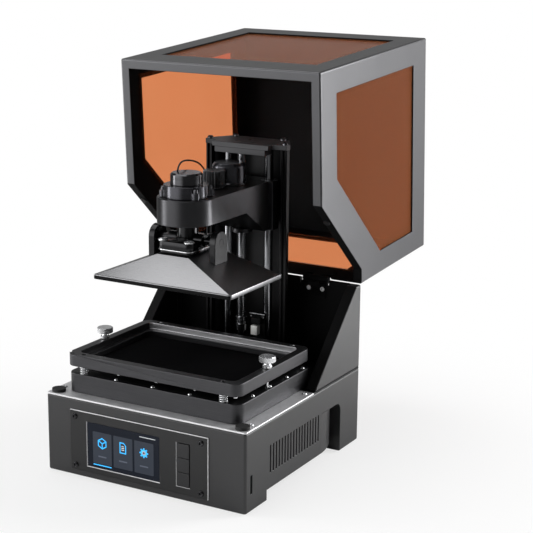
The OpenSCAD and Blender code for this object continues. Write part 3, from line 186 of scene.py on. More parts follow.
# %% Three soft boxes
def soft_box(name, place_at, aim, width, height, power):
    """A rectangular area lamp at a place, turned towards a point."""
    lamp = bpy.data.lights.new(name, "AREA")
    lamp.shape = "RECTANGLE"
    lamp.size, lamp.size_y, lamp.energy = width, height, power
    thing = bpy.data.objects.new(name, lamp)
    thing.location = place_at
    thing.rotation_euler = (Vector(aim) - Vector(place_at)).to_track_quat("-Z", "Y").to_euler()
    thing.visible_transmission = False
    bpy.context.collection.objects.link(thing)


soft_box("box_left", (-1.35, -0.66, 0.30), (0, 0, 0.2), 0.40, 1.7, 12.0)
soft_box("box_right", (1.15, 1.05, 0.50), (0, 0, 0.25), 0.6, 1.7, 29.0)
soft_box("box_top", (-0.5, 0.0, 1.7), (0, 0, 0.2), 1.4, 1.4, 12.0)
print("soft boxes:", len(bpy.data.lights))

# %% [markdown]
# ## Floor
#
# The printer stands on a disc of white paper. Near the printer the paper takes its shadow,
# and further out it turns into the plain white of the background, so that no edge shows. The
# shader mixes plain paper with a white glow by the distance from the middle, and only for
# rays from the camera or through a window, so that the glow lights nothing.

# %% White paper
FLOOR_R, FLOOR_SIDES, FLOOR_DROP = 0.6, 64, 0.0002
SHADOW_R, PLAIN_R, GLOW_SHARE = 0.15, 0.5, 0.7
floor_mesh = bpy.data.meshes.new("floor")
turn = np.linspace(0, 2 * np.pi, FLOOR_SIDES, endpoint=False)
rim = np.stack([FLOOR_R * np.cos(turn), FLOOR_R * np.sin(turn), np.full(FLOOR_SIDES, -FLOOR_DROP)], -1)
floor_mesh.from_pydata(rim.tolist(), [], [list(range(FLOOR_SIDES))])
floor = bpy.data.objects.new("floor", floor_mesh)
bpy.context.collection.objects.link(floor)
floor_finish = bpy.data.materials.new("white_paper")
floor_finish.use_nodes = True
tree = floor_finish.node_tree
tree.nodes.clear()
paper = add(tree, "BsdfDiffuse", {"Color": linear("#FFFFFF")})
glow = add(tree, "Emission", {"Color": (1, 1, 1, 1), "Strength": 1.0})
path = add(tree, "LightPath")
seen = add(tree, "Math", {0: path.outputs["Is Camera Ray"], 1: path.outputs["Is Transmission Ray"]},
           operation="MAXIMUM")
where = add(tree, "TexCoord")
away = add(tree, "VectorMath", {0: where.outputs["Object"]}, operation="LENGTH")
share = add(tree, "MapRange", {"Value": away.outputs["Value"], "From Min": SHADOW_R, "From Max": PLAIN_R,
                               "To Min": GLOW_SHARE, "To Max": 1.0}, interpolation_type="SMOOTHSTEP")
keep = add(tree, "Math", {0: seen.outputs[0], 1: share.outputs[0]}, operation="MULTIPLY")
both = add(tree, "MixShader", {0: keep.outputs[0], 1: paper.outputs[0], 2: glow.outputs[0]})
add(tree, "OutputMaterial", {"Surface": both.outputs[0]})
floor_mesh.materials.append(floor_finish)
print("floor radius", FLOOR_R, "m")

# %% [markdown]
# ## Finishes
#
# A finish is a base colour, a roughness and a fine relief. The patterns are placed by Object
# coordinates, which are metres here, so a grain of 0.4 mm is a noise texture at a scale of
# 1 / 0.0004. Where the real grain is too fine to see, it is drawn as coarse as it must be to
# show, and the comment says so.


# %% Patterns shared by the finishes
def noise_at(tree, size_mm, stretch=(1, 1, 1), detail=2.0, octave_rough=0.5):
    """Noise whose blobs measure about size_mm, stretched along the axes."""
    coords = add(tree, "TexCoord")
    scaled = add(tree, "Mapping", {"Vector": coords.outputs["Object"], "Scale": stretch})
    return add(tree, "TexNoise", {"Vector": scaled.outputs[0], "Scale": 1 / (size_mm * MM),
                                  "Detail": detail, "Roughness": octave_rough}).outputs["Fac"]


def spread(tree, value, low, high, from_low=0.3, from_high=0.7):
    """The value remapped to lie between low and high."""
    return add(tree, "MapRange", {"Value": value, "From Min": from_low, "From Max": from_high,
                                  "To Min": low, "To Max": high}).outputs[0]


def tinted(tree, value, dark, light):
    """A colour between two hex colours, chosen by a value from 0 to 1."""
    return add(tree, "Mix", {0: value, 6: linear(dark), 7: linear(light)}, data_type="RGBA").outputs[2]


def relief(tree, height, depth_mm):
    """A bump of that depth."""
    return add(tree, "Bump", {"Height": height, "Distance": depth_mm * MM, "Strength": 1.0}).outputs[0]


def finish(name, build, **constants):
    """A material with one Principled shader.

    build(tree) returns the linked inputs, and constants are set on the shader itself.
    """
    made = bpy.data.materials.new(name)
    made.use_nodes = True
    tree = made.node_tree
    tree.nodes.clear()
    shader = add(tree, "BsdfPrincipled", {**constants, **build(tree)})
    add(tree, "OutputMaterial", {"Surface": shader.outputs[0]})
    return made


print("patterns ready: noise, spread, tint and relief")

# %% [markdown]
# ## Paint and anodising
#
# Powder paint is sprayed on dry and baked, which leaves a faint relief like orange peel.
# Anodising grows a thin dyed skin on blasted aluminium, which keeps the sheen of the metal
# and scatters it. Pictures of real surfaces would do as well, but noise has no seams.


# %% Coated surfaces
def powder_coat(name, dark, light, rough, grain_mm=0.7, grain_depth=0.012, metallic=0.0, gloss=0.5):
    """Baked powder paint: a fine orange-peel relief, slightly clouded in gloss."""
    def build(tree):
        cloud = noise_at(tree, 35)
        return {"Base Color": tinted(tree, cloud, dark, light),
                "Roughness": spread(tree, noise_at(tree, 18), rough - 0.01, rough + 0.01),
                "Normal": relief(tree, noise_at(tree, grain_mm, detail=3), grain_depth)}
    return finish(name, build, **{"Metallic": metallic, "Specular IOR Level": gloss})


def anodised(name, dark, light, rough, metallic=0.75, blast_mm=0.25):
    """Bead-blasted, anodised aluminium: a dull metal whose tiny pits scatter the gloss."""
    def build(tree):
        return {"Base Color": tinted(tree, noise_at(tree, 25), dark, light),
                "Roughness": spread(tree, noise_at(tree, 9), rough - 0.01, rough + 0.01),
                "Normal": relief(tree, noise_at(tree, blast_mm, detail=2), 0.002)}
    return finish(name, build, **{"Metallic": metallic})


print("coats ready: powder paint and anodising")

# %% [markdown]
# ## Worked metal
#
# A brush leaves long scratches, a lathe leaves rings and fine grinding leaves almost nothing.
# Scratches and rings are the same noise, stretched 30 to 50 times along the way that the tool
# went. On an upright turned piece that way is level, so its noise is stretched along X and Y.


# %% Worked surfaces
def brushed(name, dark, light, rough, along="X", line_mm=0.25, depth_mm=0.002, metallic=1.0):
    """Brushed metal: long fine scratches along the axes named in along."""
    stretch = [0.02 if axis in along else 1 for axis in "XYZ"]
    def build(tree):
        lines = noise_at(tree, line_mm, stretch, detail=4, octave_rough=0.7)
        return {"Base Color": tinted(tree, spread(tree, lines, 0, 1), dark, light),
                "Roughness": spread(tree, lines, rough - 0.05, rough + 0.06),
                "Normal": relief(tree, lines, depth_mm)}
    return finish(name, build, **{"Metallic": metallic})


def turned_metal(name, dark, light, rough, metallic=1.0, depth_mm=0.0006):
    """Metal from a lathe: faint rings, drawn 0.4 mm apart so that they show."""
    def build(tree):
        rings = noise_at(tree, 0.4, (0.03, 0.03, 1), detail=3)
        return {"Base Color": tinted(tree, spread(tree, rings, 0, 1), dark, light),
                "Roughness": spread(tree, rings, rough - 0.04, rough + 0.05),
                "Normal": relief(tree, rings, depth_mm)}
    return finish(name, build, **{"Metallic": metallic})


def ground(name, dark, light, rough):
    """Steel ground so fine that only slow clouds of gloss show."""
    def build(tree):
        cloud = noise_at(tree, 30)
        return {"Base Color": tinted(tree, cloud, dark, light),
                "Roughness": spread(tree, cloud, rough - 0.02, rough + 0.02)}
    return finish(name, build, **{"Metallic": 1.0})


print("worked metals ready: brushed, turned and ground")

# %% [markdown]
# ## Edges and plastics
#
# The front panel is a black skin whose edge gets a painted highlight where it looks up or to the right.
# The deck is bright at the front and dark behind a plane of constant Y, and its cut edge follows.
# Moulded plastic copies the spark-eroded grain of its mould.


# %% Painted edge highlights, cut edges and plastic
def edge_highlight_by_facing(name, dark, light):
    """A black laminate whose edges get a painted highlight where they look up or to the right."""
    def build(tree):
        split = add(tree, "SeparateXYZ", {0: add(tree, "TexCoord").outputs["Normal"]})
        up = add(tree, "Math", {0: split.outputs["X"], 1: split.outputs["Z"]}, operation="MAXIMUM").outputs[0]
        # painted highlight: the edge is brighter where its normal looks up or to the right, made uneven by
        # noise
        lit_share, highlight_noise = spread(tree, up, 0, 1, 0.15, 0.6), spread(tree, noise_at(tree, 3), 0.75, 1.0)
        painted_highlight = add(tree, "Math", {0: lit_share, 1: highlight_noise}, operation="MULTIPLY").outputs[0]
        return {"Base Color": tinted(tree, painted_highlight, dark, light)}
    return finish(name, build, **{"Roughness": 0.4, "Metallic": 0.4})


def cut_edge(name, dark, light, rough, until):
    """A cut sheet edge, bright up to a plane of constant Y and dark beyond it."""
    def build(tree):
        y = add(tree, "SeparateXYZ", {0: add(tree, "TexCoord").outputs["Object"]}).outputs["Y"]
        lines = noise_at(tree, 0.25, (0.02, 0.02, 1), detail=4, octave_rough=0.7)
        # bright in front of the plane of constant Y and dark behind it, with streaks
        bright_share, streaks = spread(tree, y, 1, 0, until, until + 0.002), spread(tree, lines, 0.8, 1)
        bare = add(tree, "Math", {0: bright_share, 1: streaks}, operation="MULTIPLY").outputs[0]
        return {"Base Color": tinted(tree, bare, dark, light),
                "Roughness": spread(tree, lines, rough - 0.05, rough + 0.06)}
    return finish(name, build, **{"Metallic": 0.8})


def moulded(name, dark, light, rough, grain_mm=0.5, grain_depth=0.008):
    """Injection-moulded plastic: a spark-eroded grain from the mould."""
    def build(tree):
        return {"Base Color": tinted(tree, noise_at(tree, 15), dark, light),
                "Roughness": spread(tree, noise_at(tree, 6), rough - 0.03, rough + 0.04),
                "Normal": relief(tree, noise_at(tree, grain_mm, detail=2), grain_depth)}
    return finish(name, build, **{"IOR": 1.46})


print("edges and plastics ready")

# %% [markdown]
# ## The printer's own finishes
#
# The case is folded steel under black powder paint, with blackened castings, bright rods and
# nickel screws in it. Each finish starts from the usual values of its material and is then
# matched to the object. A metal shows only what it mirrors, so a blackened metal is written
# lighter than it looks.

# %% Paint and coated metal
# Satin black powder paint on folded steel: a dull black with a wide, soft shine
BASE_PAINT = powder_coat("black_powder_paint", "#1C1C1D", "#222224", 0.40, gloss=0.62)
# Metallic graphite paint, smooth enough for the hood's broad faces to mirror the glows
HOOD_PAINT = powder_coat("graphite_metallic_paint", "#58585A", "#5C5C5E", 0.3, grain_depth=0.004,
                         metallic=0.9)
# Flat black paint on inner faces and the back panel, which swallows nearly all light
PANEL_PAINT = powder_coat("deep_black_paint", "#0A0A0B", "#0E0E0F", 0.75, gloss=0.12)
# Anodised tower profile: nearly black, with thin lines of light along its ribs
TOWER_METAL = anodised("black_anodised_extrusion", "#131314", "#1A1A1B", 0.30)
# Blasted and blackened casting: one broad grey band on the arm's round nose
ARM_METAL = anodised("satin_black_casting", "#404042", "#464648", 0.3, metallic=0.95)
# Blackened and oiled steel of the head: small, hard highlights
HEAD_METAL = anodised("gloss_black_steel", "#2A2A2B", "#343435", 0.2, metallic=0.9)
# The knurled knob's satin skin: each tooth has its own thin highlight
KNOB_METAL = anodised("satin_black_knob", "#48484A", "#525254", 0.25, metallic=0.9)
# The tower's top plate, a shade lighter than the profile under it
TOP_METAL = anodised("grey_anodised_plate", "#38383A", "#424244", 0.4, metallic=0.5)
print("coated finishes made")

# %% [markdown]
# ## Sheet and brushed metal
#
# The deck is bright rolled sheet, the vat and the block are brushed aluminium under a black
# skin, and the build plate is bare. A real scratch is far finer than a picture can show, so
# the lines are drawn a quarter to half a millimetre apart.

# %% Sheet, cut and brushed metal
BRIGHT_UNTIL = 0.012
# Bright rolled sheet of the deck and its cut edge, dark behind a plane of constant Y
DECK_METAL = cut_edge("brushed_bright_sheet", "#18181A", "#ECECEE", 0.45, BRIGHT_UNTIL)
EDGE_METAL = cut_edge("cut_bright_edge", "#18181A", "#E4E4E6", 0.35, BRIGHT_UNTIL)
# Machined, brushed and blackened vat and block: a soft band that runs along the scratches
VAT_METAL = brushed("brushed_black_anodised", "#404042", "#4A4A4C", 0.36, "XY", 0.5, 0.001, 0.9)
BLOCK_METAL = brushed("brushed_black_block", "#3C3C3E", "#464648", 0.38, "XY", 0.5, 0.001, 0.9)
# Wall of the vat's step where it looks forward, given bright metal as a painted highlight: a light grey strip
STEP_WALL_HIGHLIGHT = brushed("step_wall_painted_highlight", "#B4B4B6", "#C8C8CA", 0.38, "X", 0.5, 0.001)
# The build plate's slopes are ground and brushed, and its right side is darker grey as painted shade
PLATE_METAL = brushed("brushed_plate_aluminium", "#8E8E90", "#9A9A9C", 0.3, "X", 0.4, 0.0004)
PLATE_SIDE_SHADE = brushed("plate_side_painted_shade", "#5C5C5E", "#6A6A6C", 0.35, "X", 0.4, 0.0004)
print("sheet and brushed finishes made")

# %% [markdown]
# ## Turned, drawn and ground steel
#
# Screws, nuts and collars come from a lathe, the springs are drawn wire, and the rods are
# ground and polished. Plating or blackening sets the colour, and roughness sets how sharp the
# sparks are.

# %% Turned and ground metal
# Ground and hardened rods, and the lead screw: sharp bright lines from end to end
ROD_METAL = ground("ground_steel_rod", "#86878A", "#96979A", 0.16)
# Drawn spring wire and nickel-plated screws: white sparks
SPRING_WIRE = turned_metal("bright_spring_wire", "#D8D9DB", "#F0F1F3", 0.2, metallic=0.8)
NICKEL = turned_metal("polished_nickel", "#DCDDDF", "#F0F1F3", 0.2, metallic=0.8)
# Zinc-plated hinge screws, which are paler and duller than nickel
ZINC = turned_metal("bright_zinc_screw", "#F4F4F6", "#FCFCFE", 0.35, metallic=0.2)
# Oiled steel of the motor and the bolts: dark grey with a soft sheen
DARK_STEEL = turned_metal("oiled_dark_steel", "#4A4A4C", "#66666A", 0.25)
# Bare turned aluminium of bushes and heat sink: pale and soft
BARE_METAL = turned_metal("turned_aluminium", "#A0A1A4", "#C4C5C8", 0.28)
# Blackened cap and collar on the arm: fine rings that light up at one side
CAP_METAL = turned_metal("turned_grey_cap", "#4A4A4C", "#58585A", 0.16)
COLLAR_METAL = turned_metal("turned_black_collar", "#46464A", "#525256", 0.2, metallic=0.9)
# Blackened lead nut and panel screws, which show only a glint
NUT_METAL = turned_metal("blackened_nut", "#2A2A2B", "#3C3C3E", 0.3)
SCREW_BLACK = turned_metal("blackened_screw", "#3A3A3C", "#4A4A4C", 0.12)
print("turned and ground finishes made")

# %% [markdown]
# ## Plastics and rubber
#
# Plastics mirror little and keep their own colour, so their shader has no metal in it. What
# tells them apart is roughness and grain: a dull key, a smoother socket, a matt foot.

# %% Plastics and rubber
# ABS keys with the fine grain of their mould: an even, dull black
KEY_PLASTIC = moulded("black_key_plastic", "#18181A", "#202022", 0.45)
# Polycarbonate skin of the front panel, and its edge with a painted highlight: a dark field in a bright
# outline
PANEL_SKIN = moulded("black_panel_laminate", "#141415", "#19191A", 0.42, 0.3, 0.003)
PANEL_EDGE_HIGHLIGHT = edge_highlight_by_facing("panel_edge_painted_highlight", "#242425", "#ECECEE")
# Rubber of feet and bumpers: rough, with hardly any shine
RUBBER = moulded("black_rubber", "#121213", "#1C1C1D", 0.70, 0.4, 0.02)
# Glass-filled nylon of sockets and fan, and plain white nylon of the end stop's plug
SOCKET_PLASTIC = moulded("black_socket_plastic", "#151516", "#1E1E1F", 0.35)
WHITE_PLASTIC = moulded("white_connector_nylon", "#D8D8D4", "#ECECE8", 0.45)
# Green solder mask, slightly uneven over the copper beneath
BOARD = moulded("green_solder_mask", "#153A29", "#1F5A3E", 0.35, 1.2, 0.01)
# PVC jacket of the thin lead: a soft line of light
LEAD_JACKET = moulded("black_lead_jacket", "#1A1A1B", "#242425", 0.5, 0.3, 0.004)
print("materials so far:", len(bpy.data.materials))

# %% [markdown]
# ## Clear parts
#
# The hood's windows are cast acrylic sheet, dyed orange so that stray light cannot cure the
# resin. Light crosses two faces of each sheet, so the dye in the shader is the square root
# of the tint that is wanted. A low IOR leaves out mirror images, which would hide the dye. The
# film under the vat and the exposure screen lie over black and look like dark glass, so a dark
# body draws them without clear layers.


# %% Acrylic, film and glass
def clear_sheet(name, light, dark, rough, ior, clear):
    """Clear plastic, a little deeper in tint here and there.

    clear is the share of light that each face lets through unscattered.
    """
    def build(tree):
        return {"Base Color": tinted(tree, spread(tree, noise_at(tree, 50, detail=1), 0, 1), dark, light)}
    return finish(name, build, **{"Transmission Weight": clear, "Roughness": rough, "IOR": ior})


def dark_glass(name, dark, light, rough, coat=1.0):
    """Glass over a dark layer: a deep body colour under a smooth coat."""
    def build(tree):
        return {"Base Color": tinted(tree, noise_at(tree, 60), dark, light),
                "Roughness": spread(tree, noise_at(tree, 12), rough, rough + 0.03)}
    return finish(name, build, **{"Specular IOR Level": 0.3 * coat, "Coat Weight": coat,
                                  "Coat Roughness": 0.03})


# Orange acrylic: clear, with an even deep orange
AMBER = clear_sheet("orange_cast_acrylic", "#EE9563", "#EC9260", 0.0, 1.04, 0.86)
# Exposure screen and film, matt and nearly black because the vat around them is
EXPOSURE_GLASS = dark_glass("exposure_glass", "#1A1A1B", "#222223", 0.5, 0.0)
FILM = dark_glass("film_over_black", "#101011", "#161617", 0.5, 0.0)
# Cover glass of the menu screen: blue-black with a faint coat
SCREEN_GLASS = dark_glass("screen_glass", "#121722", "#171D29", 0.2, 0.25)
print("materials in all:", len(bpy.data.materials))

# %% [markdown]
# ## From sharp solids to worked edges
#
# A solid from an engineering model arrives as loose triangles. A copy is welded, its flat
# faces are joined up again, and a Bevel modifier rounds each edge by the radius that the
# process leaves: 0.3 mm on machined metal and more on folded sheet. Weighted normals keep
# the flat faces flat. The copy then stands for the solid.

# %% Reading, shading and linking a mesh
record = frame["record"]
BODY_OF = {node: body for body, nodes in record["behaviour"]["bodies"].items() for node in nodes}
SLOT_OF = {row["node"]: row["material_slot"] for row in record["subparts"]}


def collection_link(thing):
    """Puts an object into the scene and hands it back."""
    bpy.context.collection.objects.link(thing)
    return thing


def smooth_by_angle(mesh, degrees):
    """Smooth shading, with every edge sharper than the angle kept crisp."""
    mesh.polygons.foreach_set("use_smooth", [True] * len(mesh.polygons))
    mesh.set_sharp_from_angle(angle=np.radians(degrees))


def read(rows, name, width=1, kind=np.float32):
    """One property of all rows of a mesh, as an array with that many columns."""
    values = np.empty(len(rows) * width, kind)
    rows.foreach_get(name, values)
    return values.reshape(-1, width) if width > 1 else values


def corners(node):
    """The lowest and the highest corner of a part, as arrays."""
    low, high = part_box(node)
    return np.array(low), np.array(high)


print("parts with a body and a finish:", len(BODY_OF), len(SLOT_OF))

# %% [markdown]
# ## Which edges are the outer ones
#
# Folded sheet is round along its folds and only broken along its cuts. A fold lies between
# two faces that have the whole solid behind them, and a cut does not. The Bevel modifier
# scales its width by a weight on each edge, so one modifier makes both radii. The weights
# are found for all edges at once.


# %% Outer faces and edge weights
def on_hull(points, middle, normal):
    """For each face, whether no point lies more than a twentieth of a millimetre in front of its plane."""
    reach = (points @ normal.T).max(0)
    return reach - np.einsum("ij,ij->i", middle, normal) < 0.05 * MM


def edge_weights(mesh, middle, normal, outside, angle, inner, outer):
    """One weight per edge: 0 on flat ones, outer on convex ones between two outside faces, inner elsewhere.

    The two faces of an edge are found by sorting the face corners by their edge.
    """
    edge = read(mesh.loops, "edge_index", kind=np.int32)
    face = np.repeat(np.arange(len(middle)), read(mesh.polygons, "loop_total", kind=np.int32))
    face = face[np.argsort(edge, kind="stable")]
    count = np.bincount(edge, minlength=len(mesh.edges))
    first = np.cumsum(count) - count
    pair = count == 2
    a, b = face[np.where(pair, first, 0)], face[np.where(pair, first + 1, 0)]
    sharp = pair & (np.einsum("ij,ij->i", normal[a], normal[b]) < np.cos(np.radians(angle)))
    convex = np.einsum("ij,ij->i", middle[b] - middle[a], normal[a]) < 0
    return np.where(sharp, np.where(outside[a] & outside[b] & convex, outer, inner), 0.0).astype(np.float32)


print("edge weights ready")

# %% [markdown]
# ## The worked copy
#
# The copy is welded and flattened with bmesh, gets its finishes face by face, and then a Bevel
# modifier with the weights from above. A modifier keeps the radius a plain number that can be
# changed later, where a bevel cut into the mesh would be final.


# %% A worked copy of a solid
def worked(node, material, radius_mm=0.0, segments=2, edge_material=None, angle=32, fold_mm=None,
           inner=None, where_inner=None, reshape=None):
    """A welded copy of an engineering solid with rounded edges, which replaces it.

    fold_mm is the radius of its outermost edges. inner is the finish of the faces inside it, or of
    those that where_inner(middles, normals) picks. reshape(points) moves its points first.
    """
    source = frame["nodes"][node].data.copy()
    if reshape is not None:
        source.vertices.foreach_set("co", reshape(read(source.vertices, "co", 3)).ravel())
    shape = bmesh.new()
    shape.from_mesh(source)
    bmesh.ops.remove_doubles(shape, verts=shape.verts, dist=2e-6)
    bmesh.ops.dissolve_limit(shape, angle_limit=np.radians(0.6), verts=shape.verts, edges=shape.edges,
                             delimit=set())
    bmesh.ops.triangulate(shape, faces=[face for face in shape.faces if len(face.verts) > 4])
    mesh = bpy.data.meshes.new(node + "_worked")
    shape.to_mesh(mesh)
    shape.free()
    mesh.materials.append(material)
    middle, normal = read(mesh.polygons, "center", 3), read(mesh.polygons, "normal", 3)
    outside = on_hull(read(mesh.vertices, "co", 3), middle, normal)
    chosen = np.zeros(len(middle), bool)
    if inner is not None:
        mesh.materials.append(inner)
        chosen = where_inner(middle, normal) if where_inner else ~outside
    mesh.polygons.foreach_set("material_index", chosen.astype(np.int32))
    smooth_by_angle(mesh, angle)
    thing = collection_link(bpy.data.objects.new(node + "_worked", mesh))
    if radius_mm:
        largest = max(radius_mm, fold_mm or 0)
        weights = edge_weights(mesh, middle, normal, outside, angle, radius_mm / largest,
                               (fold_mm or radius_mm) / largest)
        mesh.attributes.new("bevel_weight_edge", "FLOAT", "EDGE").data.foreach_set("value", weights)
        bevel = thing.modifiers.new("rounded_edges", "BEVEL")
        bevel.width = largest * MM
        bevel.segments = segments
        bevel.limit_method = "WEIGHT"
        bevel.use_clamp_overlap = False
        bevel.loop_slide = False
        if edge_material is not None:
            mesh.materials.append(edge_material)
            bevel.material = 1
        thing.modifiers.new("flat_faces", "WEIGHTED_NORMAL").keep_sharp = True
    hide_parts(node)
    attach(thing, BODY_OF[node])
    return thing


print("worked edges ready")

# %% [markdown]
# ## Surfaces from grids
#
# Turned, wound and stacked pieces are grids of points: one direction runs along a profile or
# a path, the other goes round. The points come from one formula over whole arrays, and the
# faces join each point to its neighbours. A grid that closes on the axis leaves no hole.


# %% Grids and new pieces
def grid_quads(rows, columns, wrap=False):
    """Quads between the points of a grid. wrap joins the last column to the first."""
    across = columns if wrap else columns - 1
    i, j = np.meshgrid(np.arange(rows - 1), np.arange(across), indexing="ij")
    nxt = (j + 1) % columns
    quads = np.stack([i * columns + j, i * columns + nxt, (i + 1) * columns + nxt, (i + 1) * columns + j], -1)
    return quads.reshape(-1, 4)


def new_piece(name, points, faces, material, body, slot, stands_for=(), angle=35):
    """A mesh piece from arrays of points and faces, welded, with its normals outwards."""
    mesh = bpy.data.meshes.new(name)
    mesh.from_pydata(np.asarray(points).tolist(), [], np.asarray(faces).tolist())
    shape = bmesh.new()
    shape.from_mesh(mesh)
    bmesh.ops.remove_doubles(shape, verts=shape.verts, dist=1e-6)
    bmesh.ops.dissolve_degenerate(shape, dist=1e-7, edges=shape.edges)
    bmesh.ops.recalc_face_normals(shape, faces=shape.faces)
    shape.to_mesh(mesh)
    shape.free()
    mesh.materials.append(material)
    smooth_by_angle(mesh, angle)
    thing = collection_link(bpy.data.objects.new(name, mesh))
    if stands_for:
        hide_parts(*stands_for)
    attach(thing, body)
    return thing


print("grids and new pieces ready")

# %% [markdown]
# ## Turned bodies
#
# A lathe gives one profile all the way round. The profile is a list of radii and heights that
# starts and ends on the axis, so the body is closed. Several bodies are joined into one piece
# by moving each one's face numbers past the points that came before.


# %% Turned and joined bodies
def turned(profile, steps=64, wave=None):
    """A turned body about Z: (r cos a, r sin a, z) for each (r, z) of the profile.

    wave(angle, row) scales the radius, as knurling does.
    """
    profile = np.asarray(profile, float)
    angle = np.linspace(0, 2 * np.pi, steps, endpoint=False)
    radius = np.repeat(profile[:, :1], steps, 1)
    if wave is not None:
        radius = radius * wave(angle[None, :], np.arange(len(profile))[:, None])
    points = np.stack([radius * np.cos(angle), radius * np.sin(angle),
                       np.repeat(profile[:, 1:], steps, 1)], -1)
    return points.reshape(-1, 3), grid_quads(len(profile), steps, wrap=True)


def joined(parts):
    """Several (points, faces) pairs as one pair, each one's faces moved on by the points before it."""
    points, faces, start = [], [], 0
    for p, f in parts:
        points.append(np.asarray(p))
        faces.append(np.asarray(f) + start)
        start += len(p)
    return np.concatenate(points), np.concatenate(faces)


def centre_of(node):
    """The middle of a part's box."""
    low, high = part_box(node)
    return (np.array(low) + np.array(high)) / 2


print("turned bodies ready")

# %% [markdown]
# ## Sheet metal: base, rear housing and hood
#
# Folded sheet is round along its folds, by 1.2 mm on the base and the housing and by 1.6 mm on
# the hood, whose folds catch a bright line. Cut edges are only broken. The inside of the hood
# and the flange along the housing's sloping front are flat black, so those faces get a finish
# of their own.


# %% Base, housing, hood and deck
def leaning_edge(middle, normal):
    """The narrow flange along the housing's sloping front: faces that look forwards and up."""
    return (normal[:, 1] < -0.3) & (normal[:, 2] > 0.3)


worked("base_shell", BASE_PAINT, 0.4, 3, fold_mm=1.2)
worked("rear_housing", BASE_PAINT, 0.4, 2, fold_mm=1.2, inner=PANEL_PAINT, where_inner=leaning_edge)
worked("hood_frame", HOOD_PAINT, 0.4, 3, fold_mm=1.6, inner=PANEL_PAINT)
worked("deck_plate", DECK_METAL, 0.35, 2, EDGE_METAL)
worked("back_panel", PANEL_PAINT, 0.3, 2)
worked("hood_windows", AMBER)
worked("bottom_plate", BASE_PAINT, 0.3)
print("sheet metal and windows are dressed")

# %% [markdown]
# ## The hood's bumpers
#
# Two small rubber bumpers on the hood's lower lip are low discs, and the solid has them taller.
# Its points are moved towards the foot, along the axis on which the bumpers stand, so that
# their outline stays as it is.

# %% Flattened bumpers
BUMPER_AXIS = np.array([0, -0.6626, -0.7489])
BUMPER_SQUASH = 0.7


def squashed(points):
    """Each point p moves back along the axis a by 0.7 * (p . a - lowest p . a)."""
    along = points @ BUMPER_AXIS
    return points - BUMPER_SQUASH * (along - along.min())[:, None] * BUMPER_AXIS


worked("hood_bumpers", RUBBER, 0.3, 3, reshape=squashed)
print("bumpers keep", round(1 - BUMPER_SQUASH, 2), "of their height")

# %% [markdown]
# ## Front panel, keys and screen
#
# The panel is a thin plate under a black skin, whose edge gets a painted highlight. The keys are
# separate caps in one column, and the screen is a sheet of glass, so each has its own radius.

# %% Panel, keys and screen
# the panel's bevelled edge carries a painted highlight where it looks up or to the right
worked("panel_plate", PANEL_SKIN, 0.6, 2, PANEL_EDGE_HIGHLIGHT)
for key in ("key_top", "key_middle", "key_bottom"):
    worked(key, KEY_PLASTIC, 0.3, 3)
worked("touch_screen", SCREEN_GLASS, 0.15, 2)
print("front panel is dressed")

# %% [markdown]
# ## Exposure block and vat
#
# Both are milled from aluminium plate and blackened. The wall behind the vat's upper step gets
# bright metal as a painted highlight, and its faces are picked out by where they are and which way they look.

# %% Block, vat and film ring
STEP_REACH, STEP_H = 20.0 * MM, 5.6 * MM
vat_low, vat_high = corners("vat_frame")


def rear_wall(middle, normal):
    """The wall at the back of the vat's upper step: faces that look forwards, near the top and the back."""
    near_back = middle[:, 1] > vat_high[1] - STEP_REACH
    return (normal[:, 1] < -0.7) & near_back & (middle[:, 2] > vat_high[2] - STEP_H)


worked("lcd_block", BLOCK_METAL, 0.6, 3)
# painted highlight: the forward-looking wall of the upper step gets bright metal
worked("vat_frame", VAT_METAL, 0.5, 3, inner=STEP_WALL_HIGHLIGHT, where_inner=rear_wall)
worked("film_ring", VAT_METAL, 0.2, 2)
worked("lcd_panel", EXPOSURE_GLASS, 0.1, 1)
print("vat is", round((vat_high[0] - vat_low[0]) / MM, 1), "mm wide")

# %% [markdown]
# ## Tower and arm
#
# The tower is an extruded profile and the arm a casting, so one gets sharp edges and the other
# soft ones. The collar stands higher round the cap than the solids have it. The plane where
# they meet is lifted in both, which leaves all their other heights alone.

# %% Tower, carriage, arm and sensor
COLLAR_RISE, SEAM_REACH = 2.6 * MM, 0.3 * MM
seam_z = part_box("sensor_cap")[0][2]


def raise_seam(points):
    """z becomes z + rise where z lies in the plane between cap and collar."""
    near = np.abs(points[:, 2:] - seam_z) < SEAM_REACH
    return points + COLLAR_RISE * near * [0, 0, 1]


worked("tower_extrusion", TOWER_METAL, 0.3, 2)
worked("tower_top_plate", TOP_METAL, 0.3, 2)
worked("carriage", ARM_METAL, 0.4, 2)
worked("arm", ARM_METAL, 0.5, 3)
worked("sensor_collar", COLLAR_METAL, 0.5, 3, reshape=raise_seam)
worked("sensor_cap", CAP_METAL, 0.3, 3, reshape=raise_seam)
worked("arm_lock_knob", COLLAR_METAL, 0.4, 3)
worked("plate_bracket", HEAD_METAL, 0.5, 3)
worked("stepper_motor", DARK_STEEL, 0.4, 2)
print("seam between cap and collar at", round((seam_z + COLLAR_RISE) / MM, 1), "mm")

# %% [markdown]
# ## Foot of the arm's lock knob
#
# The knob is turned with a thin flange at its foot, which shows as a pale ring. A disc is the
# simplest turned body: a profile from axis to axis, carried round.

